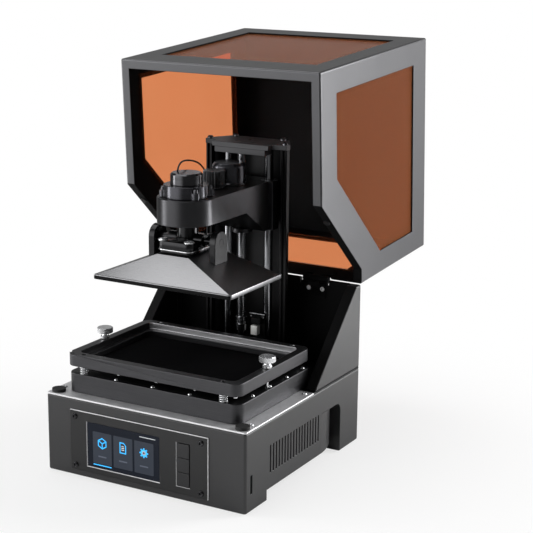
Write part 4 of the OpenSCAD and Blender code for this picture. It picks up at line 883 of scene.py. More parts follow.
# %% Flange
FLANGE_OUT, FLANGE_T, FLANGE_EASE = 1.0 * MM, 2.4 * MM, 0.4 * MM
low, high = corners("arm_lock_knob")
flange_r = (high[0] - low[0]) / 2 + FLANGE_OUT
flange_top = low[2] + FLANGE_T
points, faces = turned([(0, low[2]), (flange_r, low[2]), (flange_r, flange_top - FLANGE_EASE),
                        (flange_r - FLANGE_EASE, flange_top), (0, flange_top)], 64)
new_piece("arm_lock_flange", points + [*(low[:2] + high[:2]) / 2, 0], faces, CAP_METAL, "arm_lock_knob",
          SLOT_OF["arm_lock_knob"], (), 30)
print("flange radius", round(flange_r / MM, 1), "mm")

# %% [markdown]
# ## Build plate, levelling head and end stop
#
# These are stacks of rounded rectangles. Each level of the stack has a height, how far it is
# drawn in, and a corner radius, and the surface joins each level to the next. A cube with
# modifiers could not change its corner radius on the way up, as the build plate's slopes do.


# %% Rounded stacks
def stack(centre, size, levels, steps=6):
    """A closed stack of rounded rectangles: corner centre + r * (cos t, sin t), level by level.

    levels holds (height, drawn in along X, drawn in along Y, corner radius).
    """
    turn = np.concatenate([np.linspace(0, np.pi / 2, steps) + quarter * np.pi / 2 for quarter in range(4)])
    sign_x = np.repeat([1, -1, -1, 1], steps)
    sign_y = np.repeat([1, 1, -1, -1], steps)
    rows = [np.tile([*centre[:2], levels[0][0]], (len(turn), 1))]
    for z, in_x, in_y, r in levels:
        x = centre[0] + sign_x * (size[0] / 2 - in_x - r) + r * np.cos(turn)
        y = centre[1] + sign_y * (size[1] / 2 - in_y - r) + r * np.sin(turn)
        rows.append(np.stack([x, y, np.full(len(turn), z)], -1))
    rows.append(np.tile([*centre[:2], levels[-1][0]], (len(turn), 1)))
    return np.concatenate(rows), grid_quads(len(rows), len(turn), wrap=True)


def eased(z0, z1, radius, c):
    """Levels of a slab from z0 to z1 whose upper and lower edge are rounded by about c."""
    part = 0.3 * c
    foot = [(z0, c, c, radius - c), (z0 + part, part, part, radius - part), (z0 + c, 0, 0, radius)]
    return foot + [(z1 - c, 0, 0, radius), (z1 - part, part, part, radius - part), (z1, c, c, radius - c)]


print("stacks ready")

# %% [markdown]
# ## Build plate
#
# Resin must run off the plate when it rises, so its back is milled into four slopes that meet
# at a small pad. The slopes are brushed. The front side gets flat black and the right one darker
# grey, both as painted shade, chosen by the way a face looks.

# %% The sloped plate
SLAB_T, PAD_W, PAD_D = 4.0 * MM, 32.0 * MM, 47.0 * MM
PLATE_CORNER, PLATE_EASE = 3.0 * MM, 0.5 * MM
SLOPE_IN, SLOPE_CORNER, PAD_CORNER = 2.0 * MM, 1.2 * MM, 0.8 * MM
low, high = corners("build_plate")
plate_mid, plate_size = (low + high) / 2, high - low
slab_top = low[2] + SLAB_T
plate_levels = eased(low[2], slab_top, PLATE_CORNER, PLATE_EASE) + [
    (slab_top, SLOPE_IN, SLOPE_IN, SLOPE_CORNER),
    (high[2], (plate_size[0] - PAD_W) / 2, (plate_size[1] - PAD_D) / 2, PAD_CORNER)]
build_plate = new_piece("build_plate_machined", *stack(plate_mid, plate_size, plate_levels), PLATE_METAL,
                        "plate", SLOT_OF["build_plate"], ["build_plate"], 25)
# painted shade: flat black for the upright faces that look forward
build_plate.data.materials.append(PANEL_PAINT)
build_plate.data.materials.append(PLATE_SIDE_SHADE)
facing = read(build_plate.data.polygons, "normal", 3)
upright = (facing[:, 2] > -0.5) & (facing[:, 2] < 0.25)
# painted shade: forward faces get flat black, right faces darker grey
which = np.select([upright & (facing[:, 1] < -0.6), upright & (facing[:, 0] > 0.6)], [1, 2], 0)
build_plate.data.polygons.foreach_set("material_index", which.astype(np.int32))
print("build plate", (plate_size / MM).round(1), "mm")

# %% [markdown]
# ## Levelling head
#
# The head is two blocks with a bright shim between them, a neck that goes up into the arm and
# a boss across it, in which the tilt shaft turns. Profiles are turned about Z and then swapped
# to lie along X.


# %% Blocks, neck, boss, shim and shaft
def laid_along_x(points, y, z):
    """Swaps axes, so that a body turned about Z lies along X at that height: (z, x + y0, y + z0)."""
    return np.stack([points[:, 2], points[:, 0] + y, points[:, 1] + z], -1)


UPPER_T, SHIM_T, HEAD_OVER_AXIS = 7.0 * MM, 0.8 * MM, 1.0 * MM
NECK_R, NECK_FOOT_R, BOSS_R, SHAFT_R = 9.0 * MM, 10.4 * MM, 5.5 * MM, 3.0 * MM
low, high = corners("levelling_head")
head_mid, head_size = (low + high) / 2, high - low
tilt_z = centre_of("tilt_shaft")[2]
head_top = tilt_z + HEAD_OVER_AXIS
shim_z = head_top - UPPER_T - SHIM_T
upper = stack(head_mid, head_size, eased(head_top - UPPER_T, head_top, 6.0 * MM, 0.7 * MM))
lower = stack(head_mid, head_size - 1.6 * MM, eased(low[2], shim_z, 5.0 * MM, 0.4 * MM))
neck, neck_faces = turned([(0, head_top - 1 * MM), (NECK_FOOT_R, head_top - 1 * MM),
                           (NECK_FOOT_R, head_top + 1.4 * MM), (NECK_R, head_top + 1.9 * MM),
                           (NECK_R, high[2]), (0, high[2])], 48)
boss_end = BOSS_R - 0.4 * MM
boss, boss_faces = turned([(0, low[0]), (boss_end, low[0]), (BOSS_R, low[0] + 0.4 * MM),
                           (BOSS_R, high[0] - 0.4 * MM), (boss_end, high[0]), (0, high[0])], 48)
blocks = joined([upper, lower, (neck + [head_mid[0], head_mid[1], 0], neck_faces),
                 (laid_along_x(boss, head_mid[1], tilt_z), boss_faces)])
new_piece("levelling_head_blocks", *blocks, HEAD_METAL, "carriage", SLOT_OF["levelling_head"],
          ["levelling_head"], 25)
shim_levels = eased(shim_z, shim_z + SHIM_T, 6.2 * MM, 0.2 * MM)
new_piece("levelling_shim", *stack(head_mid, head_size + 0.4 * MM, shim_levels), NICKEL, "carriage",
          SLOT_OF["levelling_screws"], (), 25)
ear_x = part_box("plate_bracket")[1][0]
shaft, shaft_faces = turned([(0, -ear_x), (SHAFT_R, -ear_x), (SHAFT_R, ear_x), (0, ear_x)], 32)
new_piece("tilt_shaft_flush", laid_along_x(shaft, head_mid[1], tilt_z), shaft_faces, HEAD_METAL, "carriage",
          SLOT_OF["tilt_shaft"], ["tilt_shaft"], 30)
print("tilt axis at", round(tilt_z / MM, 1), "mm")

# %% [markdown]
# ## End stop
#
# The end stop is a small circuit board on edge, with a switch, a steel lever along its top and
# a white plug below. Each is a small stack, since a real one has moulded, slightly round edges.


# %% Board, plug and lever
def brick(x0, x1, y0, y1, z0, z1, radius=0.4 * MM, c=0.2 * MM):
    """A small box with rounded upright edges and eased rims."""
    return stack(((x0 + x1) / 2, (y0 + y1) / 2), (x1 - x0, y1 - y0), eased(z0, z1, radius, c), 4)


BOARD_T, BOARD_LEFT, LEG_H, LEVER_T = 1.6 * MM, 5.0 * MM, 18.0 * MM, 0.6 * MM
SWITCH_OUT, PLUG_OUT = 5.0 * MM, 6.0 * MM
stop_low, stop_high = corners("limit_switch")
stop_x0, stop_x1, stop_top = stop_low[0] - BOARD_LEFT, stop_high[0], stop_high[2]
board_y = stop_high[1] - BOARD_T
board = brick(stop_x0, stop_x1, board_y, stop_high[1], stop_low[2] + LEG_H, stop_top)
switch = brick(stop_low[0] - 1 * MM, stop_x1 - 2 * MM, board_y - SWITCH_OUT, board_y,
               stop_top - 9 * MM, stop_top - 3 * MM)
leg = brick(stop_low[0] + 2 * MM, stop_x1, board_y, stop_high[1], stop_low[2], stop_low[2] + LEG_H)
plug = brick(stop_low[0] - 0.5 * MM, stop_low[0] + 6 * MM, board_y - PLUG_OUT, board_y,
             stop_top - 19 * MM, stop_top - 10.5 * MM)
lever = brick(stop_x0, stop_x1, board_y - 1.2 * MM, board_y + 0.4 * MM, stop_top - LEVER_T, stop_top,
              0.3 * MM, 0.1 * MM)
new_piece("end_stop_board", *joined([board, switch, leg]), PANEL_PAINT, "base", SLOT_OF["limit_switch"],
          ["limit_switch"], 30)
new_piece("end_stop_plug", *plug, WHITE_PLASTIC, "base", SLOT_OF["limit_switch"], (), 30)
new_piece("end_stop_lever", *lever, BARE_METAL, "base", SLOT_OF["limit_switch"], (), 30)
print("end stop board", round((stop_x1 - stop_x0) / MM, 1), "mm wide")

# %% [markdown]
# ## Shaft collar
#
# The collar joins the motor's shaft to the lead screw. It is turned from one bar, with a groove
# round its middle that shows as a dark line.

# %% Collar with a groove
COLLAR_R, HUB_R, HUB_H, COLLAR_EASE = 5.4 * MM, 3.6 * MM, 4.0 * MM, 0.5 * MM
low, high = corners("motor_coupling")
mid = (low + high) / 2
body_z, inner_r = low[2] + HUB_H, COLLAR_R - COLLAR_EASE
slim = [(0, low[2]), (HUB_R, low[2]), (HUB_R, body_z), (inner_r, body_z), (COLLAR_R, body_z + COLLAR_EASE),
        (COLLAR_R, mid[2] + 1.5 * MM), (inner_r, mid[2] + 2 * MM), (inner_r, mid[2] + 2.6 * MM),
        (COLLAR_R, mid[2] + 3.1 * MM), (COLLAR_R, high[2] - COLLAR_EASE), (inner_r, high[2]), (0, high[2])]
points, faces = turned(slim, 48)
new_piece("shaft_collar", points + [mid[0], mid[1], 0], faces, ROD_METAL, "screw", SLOT_OF["motor_coupling"],
          ["motor_coupling"], 30)
print("collar radius", round(COLLAR_R / MM, 1), "mm")

# %% [markdown]
# ## Springs
#
# The vat floats on four short coil springs with ground ends. A coil is a small circle carried
# along a helix. Near both ends the pitch runs out to nothing, so that the last turn lies flat.

# %% Coil springs under the vat
SPRING_TURNS, DEAD_TURNS, WIRE_R, COIL_R, SPRING_IN = 4.0, 0.75, 0.42 * MM, 3.4 * MM, 2.2 * MM


def coil(x, y, z0, z1, radius, wire, turns, steps_per_turn=20, sides=8):
    """A closed helical tube: centre (r cos a, r sin a, z), with a small circle carried round it."""
    t = np.linspace(0, 1, int(turns * steps_per_turn) + 1)
    a = 2 * np.pi * turns * t
    pitch = np.clip(np.minimum(t, 1 - t) * turns / DEAD_TURNS, 0, 1)
    rise = np.cumsum(np.concatenate([[0], (pitch[1:] + pitch[:-1]) / 2]))
    z = z0 + wire + (z1 - z0 - 2 * wire) * rise / rise[-1]
    b = np.linspace(0, 2 * np.pi, sides, endpoint=False)
    out = radius + wire * np.cos(b)[None, :]
    points = np.stack([x + out * np.cos(a)[:, None], y + out * np.sin(a)[:, None],
                       z[:, None] + wire * np.sin(b)[None, :]], -1).reshape(-1, 3)
    quads = grid_quads(len(t), sides, wrap=True)
    cap = np.array([[0, 2, 4, 6]])
    return points, np.concatenate([quads, cap, cap + (len(t) - 1) * sides])


low, high = corners("vat_springs")
spring_at = [(x, y) for x in (low[0] + SPRING_IN, high[0] - SPRING_IN)
             for y in (low[1] + SPRING_IN, high[1] - SPRING_IN)]
coils = joined([coil(x, y, low[2], high[2], COIL_R, WIRE_R, SPRING_TURNS) for x, y in spring_at])
new_piece("vat_springs_wound", *coils, SPRING_WIRE, "base", "bright_steel", ["vat_springs"], 60)
print("springs", round((high[2] - low[2]) / MM, 2), "mm tall")

# %% [markdown]
# ## Lead screw
#
# A thread is a strip one pitch wide, wound up the rod like a ribbon, so that the top of one
# turn meets the foot of the next. Twisting a stack of discs would give rings, not a thread.

# %% Rod with a trapezoidal thread
THREAD_PITCH, THREAD_DEPTH, STEPS_PER_TURN = 2.0 * MM, 0.7 * MM, 24
STEM_R, THREAD_START, CORE_OVERLAP = 2.5 * MM, 6.0 * MM, 0.05 * MM


def threaded(x, y, z0, z1, radius):
    """A ribbon one pitch wide wound up the rod: radius(s) falls to the root and comes back over one pitch."""
    turns = int((z1 - z0) / THREAD_PITCH) - 1
    t = np.arange(turns * STEPS_PER_TURN + 1) / STEPS_PER_TURN
    s = np.array([0, 0.32, 0.5, 0.82, 1.0])
    r = radius - THREAD_DEPTH * np.array([0, 0, 1, 1, 0])
    a = 2 * np.pi * t[:, None]
    points = np.stack([x + r[None, :] * np.cos(a), y + r[None, :] * np.sin(a),
                       z0 + THREAD_PITCH * (t[:, None] + s[None, :])], -1)
    return points.reshape(-1, 3), grid_quads(len(t), len(s))


low, high = corners("lead_screw")
screw_r = (high[0] - low[0]) / 2
screw_x, screw_y = centre_of("lead_screw")[:2]
thread_z0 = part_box("motor_coupling")[1][2] - THREAD_START
core_r = screw_r - THREAD_DEPTH + CORE_OVERLAP
core, core_faces = turned([(0, thread_z0), (core_r, thread_z0), (core_r, high[2]), (0, high[2])], 32)
stem, stem_faces = turned([(0, low[2]), (STEM_R, low[2]), (STEM_R, thread_z0), (0, thread_z0)], 32)
rod = joined([threaded(screw_x, screw_y, thread_z0, high[2], screw_r),
              (core + [screw_x, screw_y, 0], core_faces), (stem + [screw_x, screw_y, 0], stem_faces)])
new_piece("lead_screw_threaded", *rod, ROD_METAL, "screw", "bright_steel", ["lead_screw"], 30)
print("lead screw radius", round(screw_r / MM, 2), "mm")

# %% [markdown]
# ## Knurled knob
#
# A knurled knob is turned and then pressed with a toothed wheel. Its radius is scaled by a wave
# round the axis, in the rows between its chamfers, so the teeth fade out at both rims.

# %% Knurls
KNOB_TEETH, KNOB_TOOTH, STEPS_PER_TOOTH, KNOB_DROP = 26, 0.09, 8, 2.5 * MM


def knurl(count, depth):
    """Scales the radius by a row of rounded teeth: 1 - depth * |sin(count * angle / 2)|."""
    return lambda angle, row: 1 - depth * np.abs(np.sin(count * angle / 2)) * ((row > 1) & (row < 8))


def chamfered(r, z0, z1, c):
    """Profile of a disc with small chamfers, from axis to axis."""
    rise = [(0, z0), (r - 2 * c, z0), (r - c, z0 + 0.05 * c), (r, z0 + c), (r, z0 + 1.3 * c)]
    return rise + [(r, (z0 + z1) / 2)] + [(radius, z0 + z1 - z) for radius, z in rise[::-1]]


low, high = corners("plate_lock_knob")
knob_x, knob_y = centre_of("plate_lock_knob")[:2]
knob_r = (high[0] - low[0]) / 2
points, faces = turned(chamfered(knob_r, low[2], high[2] - KNOB_DROP, 0.6 * MM), KNOB_TEETH * STEPS_PER_TOOTH,
                       knurl(KNOB_TEETH, KNOB_TOOTH))
new_piece("plate_lock_knob_knurled", points + [knob_x, knob_y, 0], faces, KNOB_METAL,
          "plate_lock_knob", "knob_black", ["plate_lock_knob"], 40)
print("knob radius", round(knob_r / MM, 1), "mm")

# %% [markdown]
# ## Thumbscrews
#
# Each thumbscrew is a thin knurled disc over a waisted neck, with a washer foot on the vat and
# a shank below. Heights are given from the top of the vat, on which the foot rests.

# %% Two thumbscrews
HEAD_T, HEAD_TEETH, HEAD_TOOTH, HEAD_STEPS = 5.0, 56, 0.016, 6
NECK_MM = ((2.0, -9.0), (2.0, 0.2), (3.6, 0.2), (4.1, 0.7), (4.1, 2.2), (3.5, 2.9), (2.9, 3.6), (2.7, 4.6))
SHANK_R, NECK_TOP_R = 1.1 * MM, 3.0 * MM
for node in ("thumbscrew_left", "thumbscrew_right"):
    low, high = corners(node)
    mid = (low + high) / 2
    head = turned(chamfered((high[0] - low[0]) / 2, high[2] - HEAD_T * MM, high[2], 0.5 * MM),
                  HEAD_TEETH * HEAD_STEPS, knurl(HEAD_TEETH, HEAD_TOOTH))
    neck_top = high[2] - (HEAD_T - 0.1) * MM
    waist = [(r * MM, vat_high[2] + z * MM) for r, z in NECK_MM]
    neck = turned([(0, low[2]), (SHANK_R, low[2]), (SHANK_R, waist[0][1]), *waist,
                   (NECK_TOP_R, neck_top), (0, neck_top)], 48)
    points, faces = joined([head, neck])
    new_piece(node + "_turned", points + [mid[0], mid[1], 0], faces, NICKEL, node, "polished_screw",
              [node], 30)
    print(node, "is", round((high[2] - low[2]) / MM, 1), "mm long")

# %% [markdown]
# ## Small screws
#
# Socket-head screws are turned bodies with a six-sided hole. The hole is made in the same
# grid: below the rim, the radius follows a hexagon instead of a circle. One function makes
# every head, and one piece holds all heads of a kind.


# %% Screw heads
def hexagon(angle, inner):
    """Distance from the centre to the side of a hexagon whose inner radius is given."""
    fold = (angle + np.pi / 6) % (np.pi / 3) - np.pi / 6
    return inner / np.cos(fold)


def socket_head(x, y, z, r, height, up=1.0, dome=0.35, steps=24):
    """A button head with a hexagonal socket, standing on a face at height z."""
    angle = np.linspace(0, 2 * np.pi, steps, endpoint=False)
    ring = np.ones(steps)
    key = hexagon(angle, 0.42 * r)
    rows = [(r * ring, 0), (r * ring, height * (1 - dome)), (0.86 * r * ring, height * (1 - 0.35 * dome)),
            (0.66 * r * ring, height), (key * 1.12, height), (key, 0.94 * height), (key, 0.35 * height),
            (0 * ring, 0.3 * height)]
    points = np.stack([np.stack([x + q * np.cos(angle), y + q * np.sin(angle),
                                 np.full(steps, z + up * h)], -1) for q, h in rows])
    return points.reshape(-1, 3), grid_quads(len(rows), steps, wrap=True)


def turned_forward(points, x, y, z):
    """Turns a shape built about Z at the origin so that its top looks along -Y, and moves it to a place."""
    return np.stack([points[:, 0] + x, -points[:, 2] + y, points[:, 1] + z], -1)


def screws(name, heads, material, body, slot, stands_for=()):
    """One piece from several screw heads."""
    return new_piece(name, *joined(heads), material, body, slot, stands_for, 30)


print("screw heads ready")

# %% [markdown]
# ## Screws of the base
#
# Blackened screws hold the panel at its corners. Nickel ones hold the deck, and a row of small
# ones runs round the top of the exposure block, just inside its edge.

# %% Panel, deck and block screws
PANEL_SCREW_X, PANEL_SCREW_Z = (5.5 * MM, 6.8 * MM), (5.1 * MM, 5.6 * MM)
DECK_SCREW_IN, DECK_SCREW_Y = 2.3 * MM, (-84.3 * MM, 7.0 * MM)
BLOCK_SCREW_X, BLOCK_SCREW_Y, BLOCK_SCREW_IN = 37.0 * MM, (-64.0, -35.0, -6.0, 23.0), 3.4 * MM
panel_low, panel_high = corners("panel_plate")
panel_head, panel_faces = socket_head(0, 0, 0, 2.7 * MM, 1.5 * MM, dome=0.8)
screws("panel_screws", [(turned_forward(panel_head, x, panel_low[1], z), panel_faces)
                        for x in (panel_low[0] + PANEL_SCREW_X[0], panel_high[0] - PANEL_SCREW_X[1])
                        for z in (panel_low[2] + PANEL_SCREW_Z[0], panel_high[2] - PANEL_SCREW_Z[1])],
       SCREW_BLACK, "base", "black_screws", ["cover_screws"])
low, high = corners("cover_screws")
deck_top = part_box("deck_plate")[1][2]
screws("deck_screws", [socket_head(x, y, deck_top, 2.3 * MM, 1.2 * MM, dome=0.7)
                       for x in (low[0] + DECK_SCREW_IN, high[0] - DECK_SCREW_IN) for y in DECK_SCREW_Y],
       NICKEL, "base", "polished_screw")
block_low, block_high = corners("lcd_block")
left, front = block_low[:2] + BLOCK_SCREW_IN
right, back = block_high[:2] - BLOCK_SCREW_IN
places = [(i * BLOCK_SCREW_X, y) for i in (-1, 0, 1) for y in (front, back)]
places += [(x, y * MM) for x in (left, right) for y in BLOCK_SCREW_Y]
screws("block_screws", [socket_head(x, y, block_high[2], 1.7 * MM, 1.2 * MM, dome=0.8, steps=18)
                        for x, y in places], NICKEL, "base", "polished_screw")
print("screws round the block:", len(places))

# %% [markdown]
# ## Screws that clamp the film
#
# The film is stretched between the vat and its ring by screws from below: five along the front
# and the back, and three on each side.

# %% Ring screws
RING_SCREW_IN, RING_SCREW_GAP = 2.0 * MM, 26.0 * MM
ring_low, ring_high = corners("film_ring_screws")
ring_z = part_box("film_ring")[0][2]
half_x = ring_high[0] - RING_SCREW_IN
rows_y = (ring_low[1] + RING_SCREW_IN, ring_high[1] - RING_SCREW_IN)
mid_y = sum(rows_y) / 2
places = [(i * half_x / 2, y) for i in range(-2, 3) for y in rows_y]
places += [(x, mid_y + i * RING_SCREW_GAP) for x in (-half_x, half_x) for i in (-1, 0, 1)]
screws("ring_screws", [socket_head(x, y, ring_z, 1.9 * MM, 1.5 * MM, up=-1, steps=18) for x, y in places],
       NICKEL, "vat", "bright_steel", ["film_ring_screws"])
print("ring screws:", len(places))

# %% [markdown]
# ## Hinges
#
# Each wall leaf is held by two zinc screws. Between its knuckles the leaf's own top edge is moved
# up, so that its black fills the gap under the hood's knuckle as painted shade.

# %% Hinge screws, and the leaf edge raised as painted shade
HINGE_MID, HINGE_SCREW_X, LEAF_H, SCREW_DROP, OUTWARD = 54.5 * MM, 7.0 * MM, 12.0 * MM, 2.6 * MM, 2.4 * MM
LEAF_RISE, SHADE_REACH, SHADE_RISE, SCREW_SUNK = 0.4 * MM, 5.6 * MM, 3.0 * MM, 0.9 * MM
low, high = corners("wall_hinges")
leaf_top = low[2] + LEAF_H + LEAF_RISE


def raised_as_shade(points):
    """z becomes z + rise on the leaf's top edge between its own two knuckles."""
    middle = abs(abs(points[:, 0]) - HINGE_MID) < SHADE_REACH
    points[middle & (abs(points[:, 2] - leaf_top) < 0.1 * MM), 2] += SHADE_RISE
    return points


hinge_head, hinge_faces = socket_head(0, 0, 0, 2.1 * MM, 1.2 * MM, dome=0.6)
screws("hinge_screws", [(turned_forward(hinge_head, side * (HINGE_MID + OUTWARD) + x, low[1] + SCREW_SUNK,
                                        low[2] + LEAF_H - SCREW_DROP), hinge_faces)
                        for side in (-1, 1) for x in (-HINGE_SCREW_X, HINGE_SCREW_X)],
       ZINC, "base", "polished_screw")
# the raised black leaf edge stands in for the shade in the gap under the hood's knuckle
worked("wall_hinges", PANEL_PAINT, reshape=raised_as_shade)
print("leaf top at", round((leaf_top + SHADE_RISE) / MM, 1), "mm")

# %% [markdown]
# ## Screws of tower, head and arm
#
# Two tiny screws hold the end stop's board. Domed heads stand on the tower's top plate and on
# the levelling head, and four bolts stand on the lobes of the sensor's collar.

# %% The other screws
STOP_SCREW_IN, STOP_SCREW_DROP = 1.8 * MM, 3.0 * MM
TOP_SCREW_IN, TOP_SCREW_X = 3.0 * MM, 24.5 * MM
LEVEL_SCREW_IN, LOBE_R, LOBES = 2.6 * MM, 19.6 * MM, np.radians([35, 145, 215, 325])
stop_head, stop_faces = socket_head(0, 0, 0, 1.1 * MM, 0.9 * MM, dome=0.6, steps=16)
screws("end_stop_screws", [(turned_forward(stop_head, x, board_y, stop_top - STOP_SCREW_DROP), stop_faces)
                           for x in (stop_x0 + STOP_SCREW_IN, stop_x1 - STOP_SCREW_IN)],
       NICKEL, "base", "polished_screw")
low, high = corners("tower_top_screws")
top_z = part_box("tower_top_plate")[1][2]
places = [(low[0] + TOP_SCREW_IN, low[1] + TOP_SCREW_IN), (high[0] - TOP_SCREW_IN, low[1] + TOP_SCREW_IN),
          (-TOP_SCREW_X, high[1] - TOP_SCREW_IN), (TOP_SCREW_X, high[1] - TOP_SCREW_IN)]
screws("tower_top_heads", [socket_head(x, y, top_z, 2.9 * MM, 2.2 * MM, dome=0.9) for x, y in places],
       DARK_STEEL, "base", "dark_steel", ["tower_top_screws"])
low, high = corners("levelling_screws")
left, front = low[:2] + LEVEL_SCREW_IN
right, back, foot = high - LEVEL_SCREW_IN
screws("levelling_screw_heads", [socket_head(x, y, foot, 4.3 * MM, 1.7 * MM, dome=0.5)
                                 for x in (left, right) for y in (front, back)],
       NICKEL, "carriage", "polished_screw", ["levelling_screws"])
collar_x, collar_y = centre_of("sensor_collar")[:2]
bolt_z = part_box("sensor_collar")[1][2] - 2 * MM
places = [(collar_x + LOBE_R * np.cos(a), collar_y + LOBE_R * np.sin(a)) for a in LOBES]
screws("collar_screw_heads", [socket_head(x, y, bolt_z, 2.2 * MM, 3.2 * MM, dome=0.2) for x, y in places],
       DARK_STEEL, "carriage", "dark_steel", ["collar_screws"])
print("bolts on the collar:", len(LOBES))

# %% [markdown]
# ## The sensor's thin lead
#
# A thin black lead leaves the cap, arches over beside the knobs and drops into the groove of
# the tower. It is a round tube carried along a smooth curve through a few chosen points.

# %% Lead
LEAD_R = 0.75 * MM
cap_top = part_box("sensor_cap")[1][2]
cap_y = centre_of("sensor_cap")[1]
LEAD_POINTS = np.array([[-9, 0, 0.2], [-10, 3, 3], [-12, 9, 5], [-16, 20, 5], [-22, 38, 2.5],
                        [-28, 58, -2], [-34, 76, -8], [-38, 90, -16], [-39, 98, -25], [-39, 99.5, -36]]) * MM


def smooth_route(points, per_span):
    """A Catmull-Rom curve through the points."""
    p = np.concatenate([points[:1], points, points[-1:]])
    t = np.linspace(0, 1, per_span, endpoint=False)[:, None]
    spans = [0.5 * (2 * b + (c - a) * t + (2 * a - 5 * b + 4 * c - d) * t ** 2
                    + (3 * b - a - 3 * c + d) * t ** 3)
             for a, b, c, d in zip(p[:-3], p[1:-2], p[2:-1], p[3:])]
    return np.concatenate(spans + [points[-1:]])


def tube(route, radius, sides=12):
    """A round tube along a route, with its frame carried along so that it does not twist."""
    tangent = np.gradient(route, axis=0)
    tangent /= np.linalg.norm(tangent, axis=1)[:, None]
    side = np.cross(tangent, [1.0, 0.0, 0.2])
    side /= np.linalg.norm(side, axis=1)[:, None]
    other = np.cross(tangent, side)
    a = np.linspace(0, 2 * np.pi, sides, endpoint=False)
    points = route[:, None, :] + radius * (np.cos(a)[None, :, None] * side[:, None, :]
                                           + np.sin(a)[None, :, None] * other[:, None, :])
    return points.reshape(-1, 3), grid_quads(len(route), sides, wrap=True)


lead_route = smooth_route(LEAD_POINTS + [0, cap_y, cap_top], 12)
new_piece("sensor_lead_tube", *tube(lead_route, LEAD_R), LEAD_JACKET, "carriage", "lead_jacket",
          ["sensor_lead"], 60)
print("lead length", round(np.linalg.norm(np.diff(lead_route, axis=0), axis=1).sum() / MM, 1), "mm")

# %% [markdown]
# ## The menu on the touch screen
#
# The menu has three tiles, each with a plain outline picture: a box for printing, a sheet for
# files and a wheel for settings. The pictures are thin flat meshes just above the glass. A
# picture drawn as an image would blur when seen close, and meshes stay crisp.


# %% Colours of the display
def lit(name, dark, light, strength):
    """A display colour, which shines a little by itself and is slightly uneven, as a backlight is."""
    def build(tree):
        shade = tinted(tree, noise_at(tree, 20), dark, light)
        return {"Base Color": shade, "Emission Color": shade}
    return finish(name, build, **{"Roughness": 0.3, "Emission Strength": strength})


TILE_BLUE = lit("tile_blue", "#1E2633", "#222A37", 0.25)
LINE_BLUE = lit("picture_blue", "#2CA4E6", "#32ACEE", 0.9)
LINE_GREY = lit("caption_grey", "#484E5A", "#4C525E", 0.5)
LINE_WHITE = lit("picture_white", "#C0C4C8", "#C8CCD0", 0.5)
print("display colours: 4")

# %% [markdown]
# ## Flat strokes and plates
#
# Line pictures are bands of even width along a path. At each corner both edges meet on the
# line that halves the angle, as the mitres of a picture frame do. Curve objects could draw
# this too, but they would have to be turned into meshes afterwards.


# %% Flat strokes and plates
def stroke(points, width, closed=False):
    """A flat band of that width along a line in the XZ plane, mitred at its corners."""
    p = np.asarray(points, float)
    ahead = np.roll(p, -1, 0) - p
    behind = p - np.roll(p, 1, 0)
    if not closed:
        ahead[-1], behind[0] = behind[-1], ahead[0]
    unit = lambda v: v / np.linalg.norm(v, axis=1)[:, None]
    a, b = unit(ahead), unit(behind)
    mitre = unit(a + b)
    normal = np.stack([-mitre[:, 1], mitre[:, 0]], -1)
    grow = width / 2 / np.maximum(np.einsum("ij,ij->i", mitre, a), 0.4)
    left, right = p + normal * grow[:, None], p - normal * grow[:, None]
    flat = np.stack([left, right], 1).reshape(-1, 2)
    n = len(p)
    k = np.arange(n if closed else n - 1)
    m = (k + 1) % n
    return flat, np.stack([2 * k, 2 * k + 1, 2 * m + 1, 2 * m], -1)


def plate(x0, x1, z0, z1, r):
    """A flat rectangle with round corners, as a strip between its upper and lower outline."""
    a = np.linspace(0, np.pi / 2, 7)
    x = np.concatenate([x0 + r - r * np.cos(a), x1 - r + r * np.sin(a)])
    lift = np.concatenate([r - r * np.sin(a), r - r * np.cos(a)])
    flat = np.stack([np.stack([x, z1 - lift], -1), np.stack([x, z0 + lift], -1)], 1).reshape(-1, 2)
    k = np.arange(len(x) - 1)
    return flat, np.stack([2 * k, 2 * k + 1, 2 * k + 3, 2 * k + 2], -1)


def on_glass(name, shapes, proud_mm, material, slot="screen_glass"):
    """Flat shapes in millimetres from the screen's middle, laid just above the glass."""
    low, high = corners("touch_screen")
    flat, faces = joined(shapes)
    x = (low[0] + high[0]) / 2 + flat[:, 0] * MM
    z = (low[2] + high[2]) / 2 + flat[:, 1] * MM
    points = np.stack([x, np.full(len(x), low[1] - proud_mm * MM), z], -1)
    return new_piece(name, points, faces, material, "base", slot)


def circle(x, z, r, turn):
    """Points (x + r cos t, z + r sin t)."""
    return np.stack([x + r * np.cos(turn), z + r * np.sin(turn)], -1)


print("flat shapes ready")

# %% [markdown]
# ## Tiles and pictures
#
# Lengths are millimetres from the middle of the screen. The box is a hexagon with three spokes,
# as a cube looks from a corner, and the wheel's rim steps in and out eight times.

# %% Menu tiles and pictures
TILE_W, TILE_H, TILE_Z, PICTURE_Z, LINE_W = 19.4, 28.5, -1.5, 3.0, 0.9
BOX_R, TOOTH_FOOT, TOOTH_H, TEETH, WHEEL_HOLE, WHEEL_EYE = 4.6, 3.2, 1.2, 8, 1.9, 1.3
TILE_X = box_x, page_x, wheel_x = (-21.4, 0.0, 21.4)
tiles = [plate(x - TILE_W / 2, x + TILE_W / 2, TILE_Z - TILE_H / 2, TILE_Z + TILE_H / 2, 0.8) for x in TILE_X]
on_glass("menu_tiles", tiles, 0.02, TILE_BLUE)
box_line = circle(box_x, PICTURE_Z, BOX_R, np.radians(np.arange(6) * 60 + 90))
spokes = [stroke([[box_x, PICTURE_Z], corner], LINE_W) for corner in box_line[1::2]]
page = np.array([[-2.9, -4.4], [2.9, -4.4], [2.9, 2.4], [0.8, 4.6], [-2.9, 4.6]]) + [page_x, PICTURE_Z]
wheel_turn = np.linspace(0, 2 * np.pi, 96, endpoint=False)
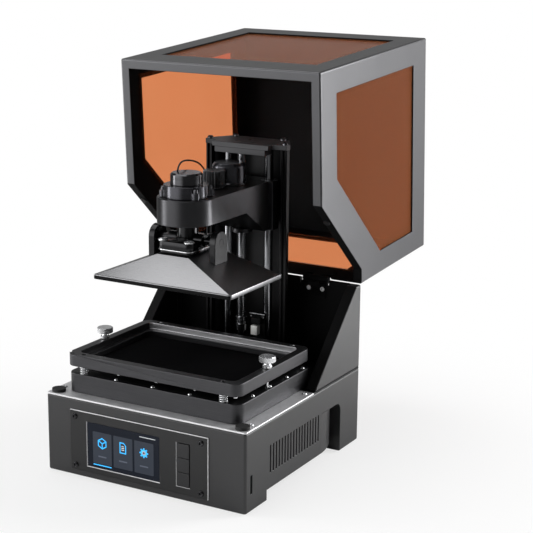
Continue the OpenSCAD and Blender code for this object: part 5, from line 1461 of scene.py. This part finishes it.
tooth = TOOTH_FOOT + TOOTH_H * (np.cos(wheel_turn * TEETH) > 0.1)
rims = np.stack([circle(wheel_x, PICTURE_Z, r, wheel_turn) for r in (WHEEL_HOLE, tooth)], 1).reshape(-1, 2)
k = 2 * np.arange(len(wheel_turn))
wheel = (rims, np.stack([k, k + 1, (k + 3) % len(rims), (k + 2) % len(rims)], -1))
underline = plate(box_x - 9.4, box_x + 9.4, -17.4, -16.5, 0.3)
outlines = [stroke(box_line, LINE_W, True), *spokes, stroke(page, LINE_W, True), wheel]
on_glass("menu_pictures", outlines + [underline], 0.04, LINE_BLUE)
sheet_lines = [plate(page_x - 1.5, page_x + 1.4, z, z + 0.7, 0.2) for z in (1.0, 2.6, 4.2)]
wheel_eye = stroke(circle(wheel_x, PICTURE_Z, WHEEL_EYE, wheel_turn), 0.6, True)
title_bar = plate(17.0, 33.0, 16.6, 17.2, 0.3)
on_glass("menu_marks", [*sheet_lines, wheel_eye, title_bar], 0.04, LINE_WHITE)
on_glass("menu_captions", [plate(x - 4.2, x + 4.2, -9.6, -8.4, 0.4) for x in TILE_X], 0.04, LINE_GREY)
print("tiles on the menu:", len(TILE_X))

# %% [markdown]
# ## The remaining parts
#
# Everything that keeps its engineering shape still gets a finish of its own. A table of parts
# and finishes says more than a row of calls.

# %% Finishes for the parts that keep their shape
PLAIN = {
    "rubber_pads": RUBBER, "panel_boards": BOARD, "mainboard": BOARD,
    "uv_lamp": BARE_METAL, "lamp_reflector": PLATE_METAL, "fan_frame": SOCKET_PLASTIC,
    "fan_rotor": SOCKET_PLASTIC, "rear_sockets": SOCKET_PLASTIC, "switch_rocker": KEY_PLASTIC,
    "guide_pins": ROD_METAL, "vat_film": FILM, "guide_rods": ROD_METAL, "rod_bushes": BARE_METAL,
    "lead_nut": NUT_METAL, "hood_hinges": PANEL_PAINT, "hinge_pins": PANEL_PAINT,
}
for node, material in PLAIN.items():
    worked(node, material)
print(len(PLAIN), "parts keep their engineering shape")
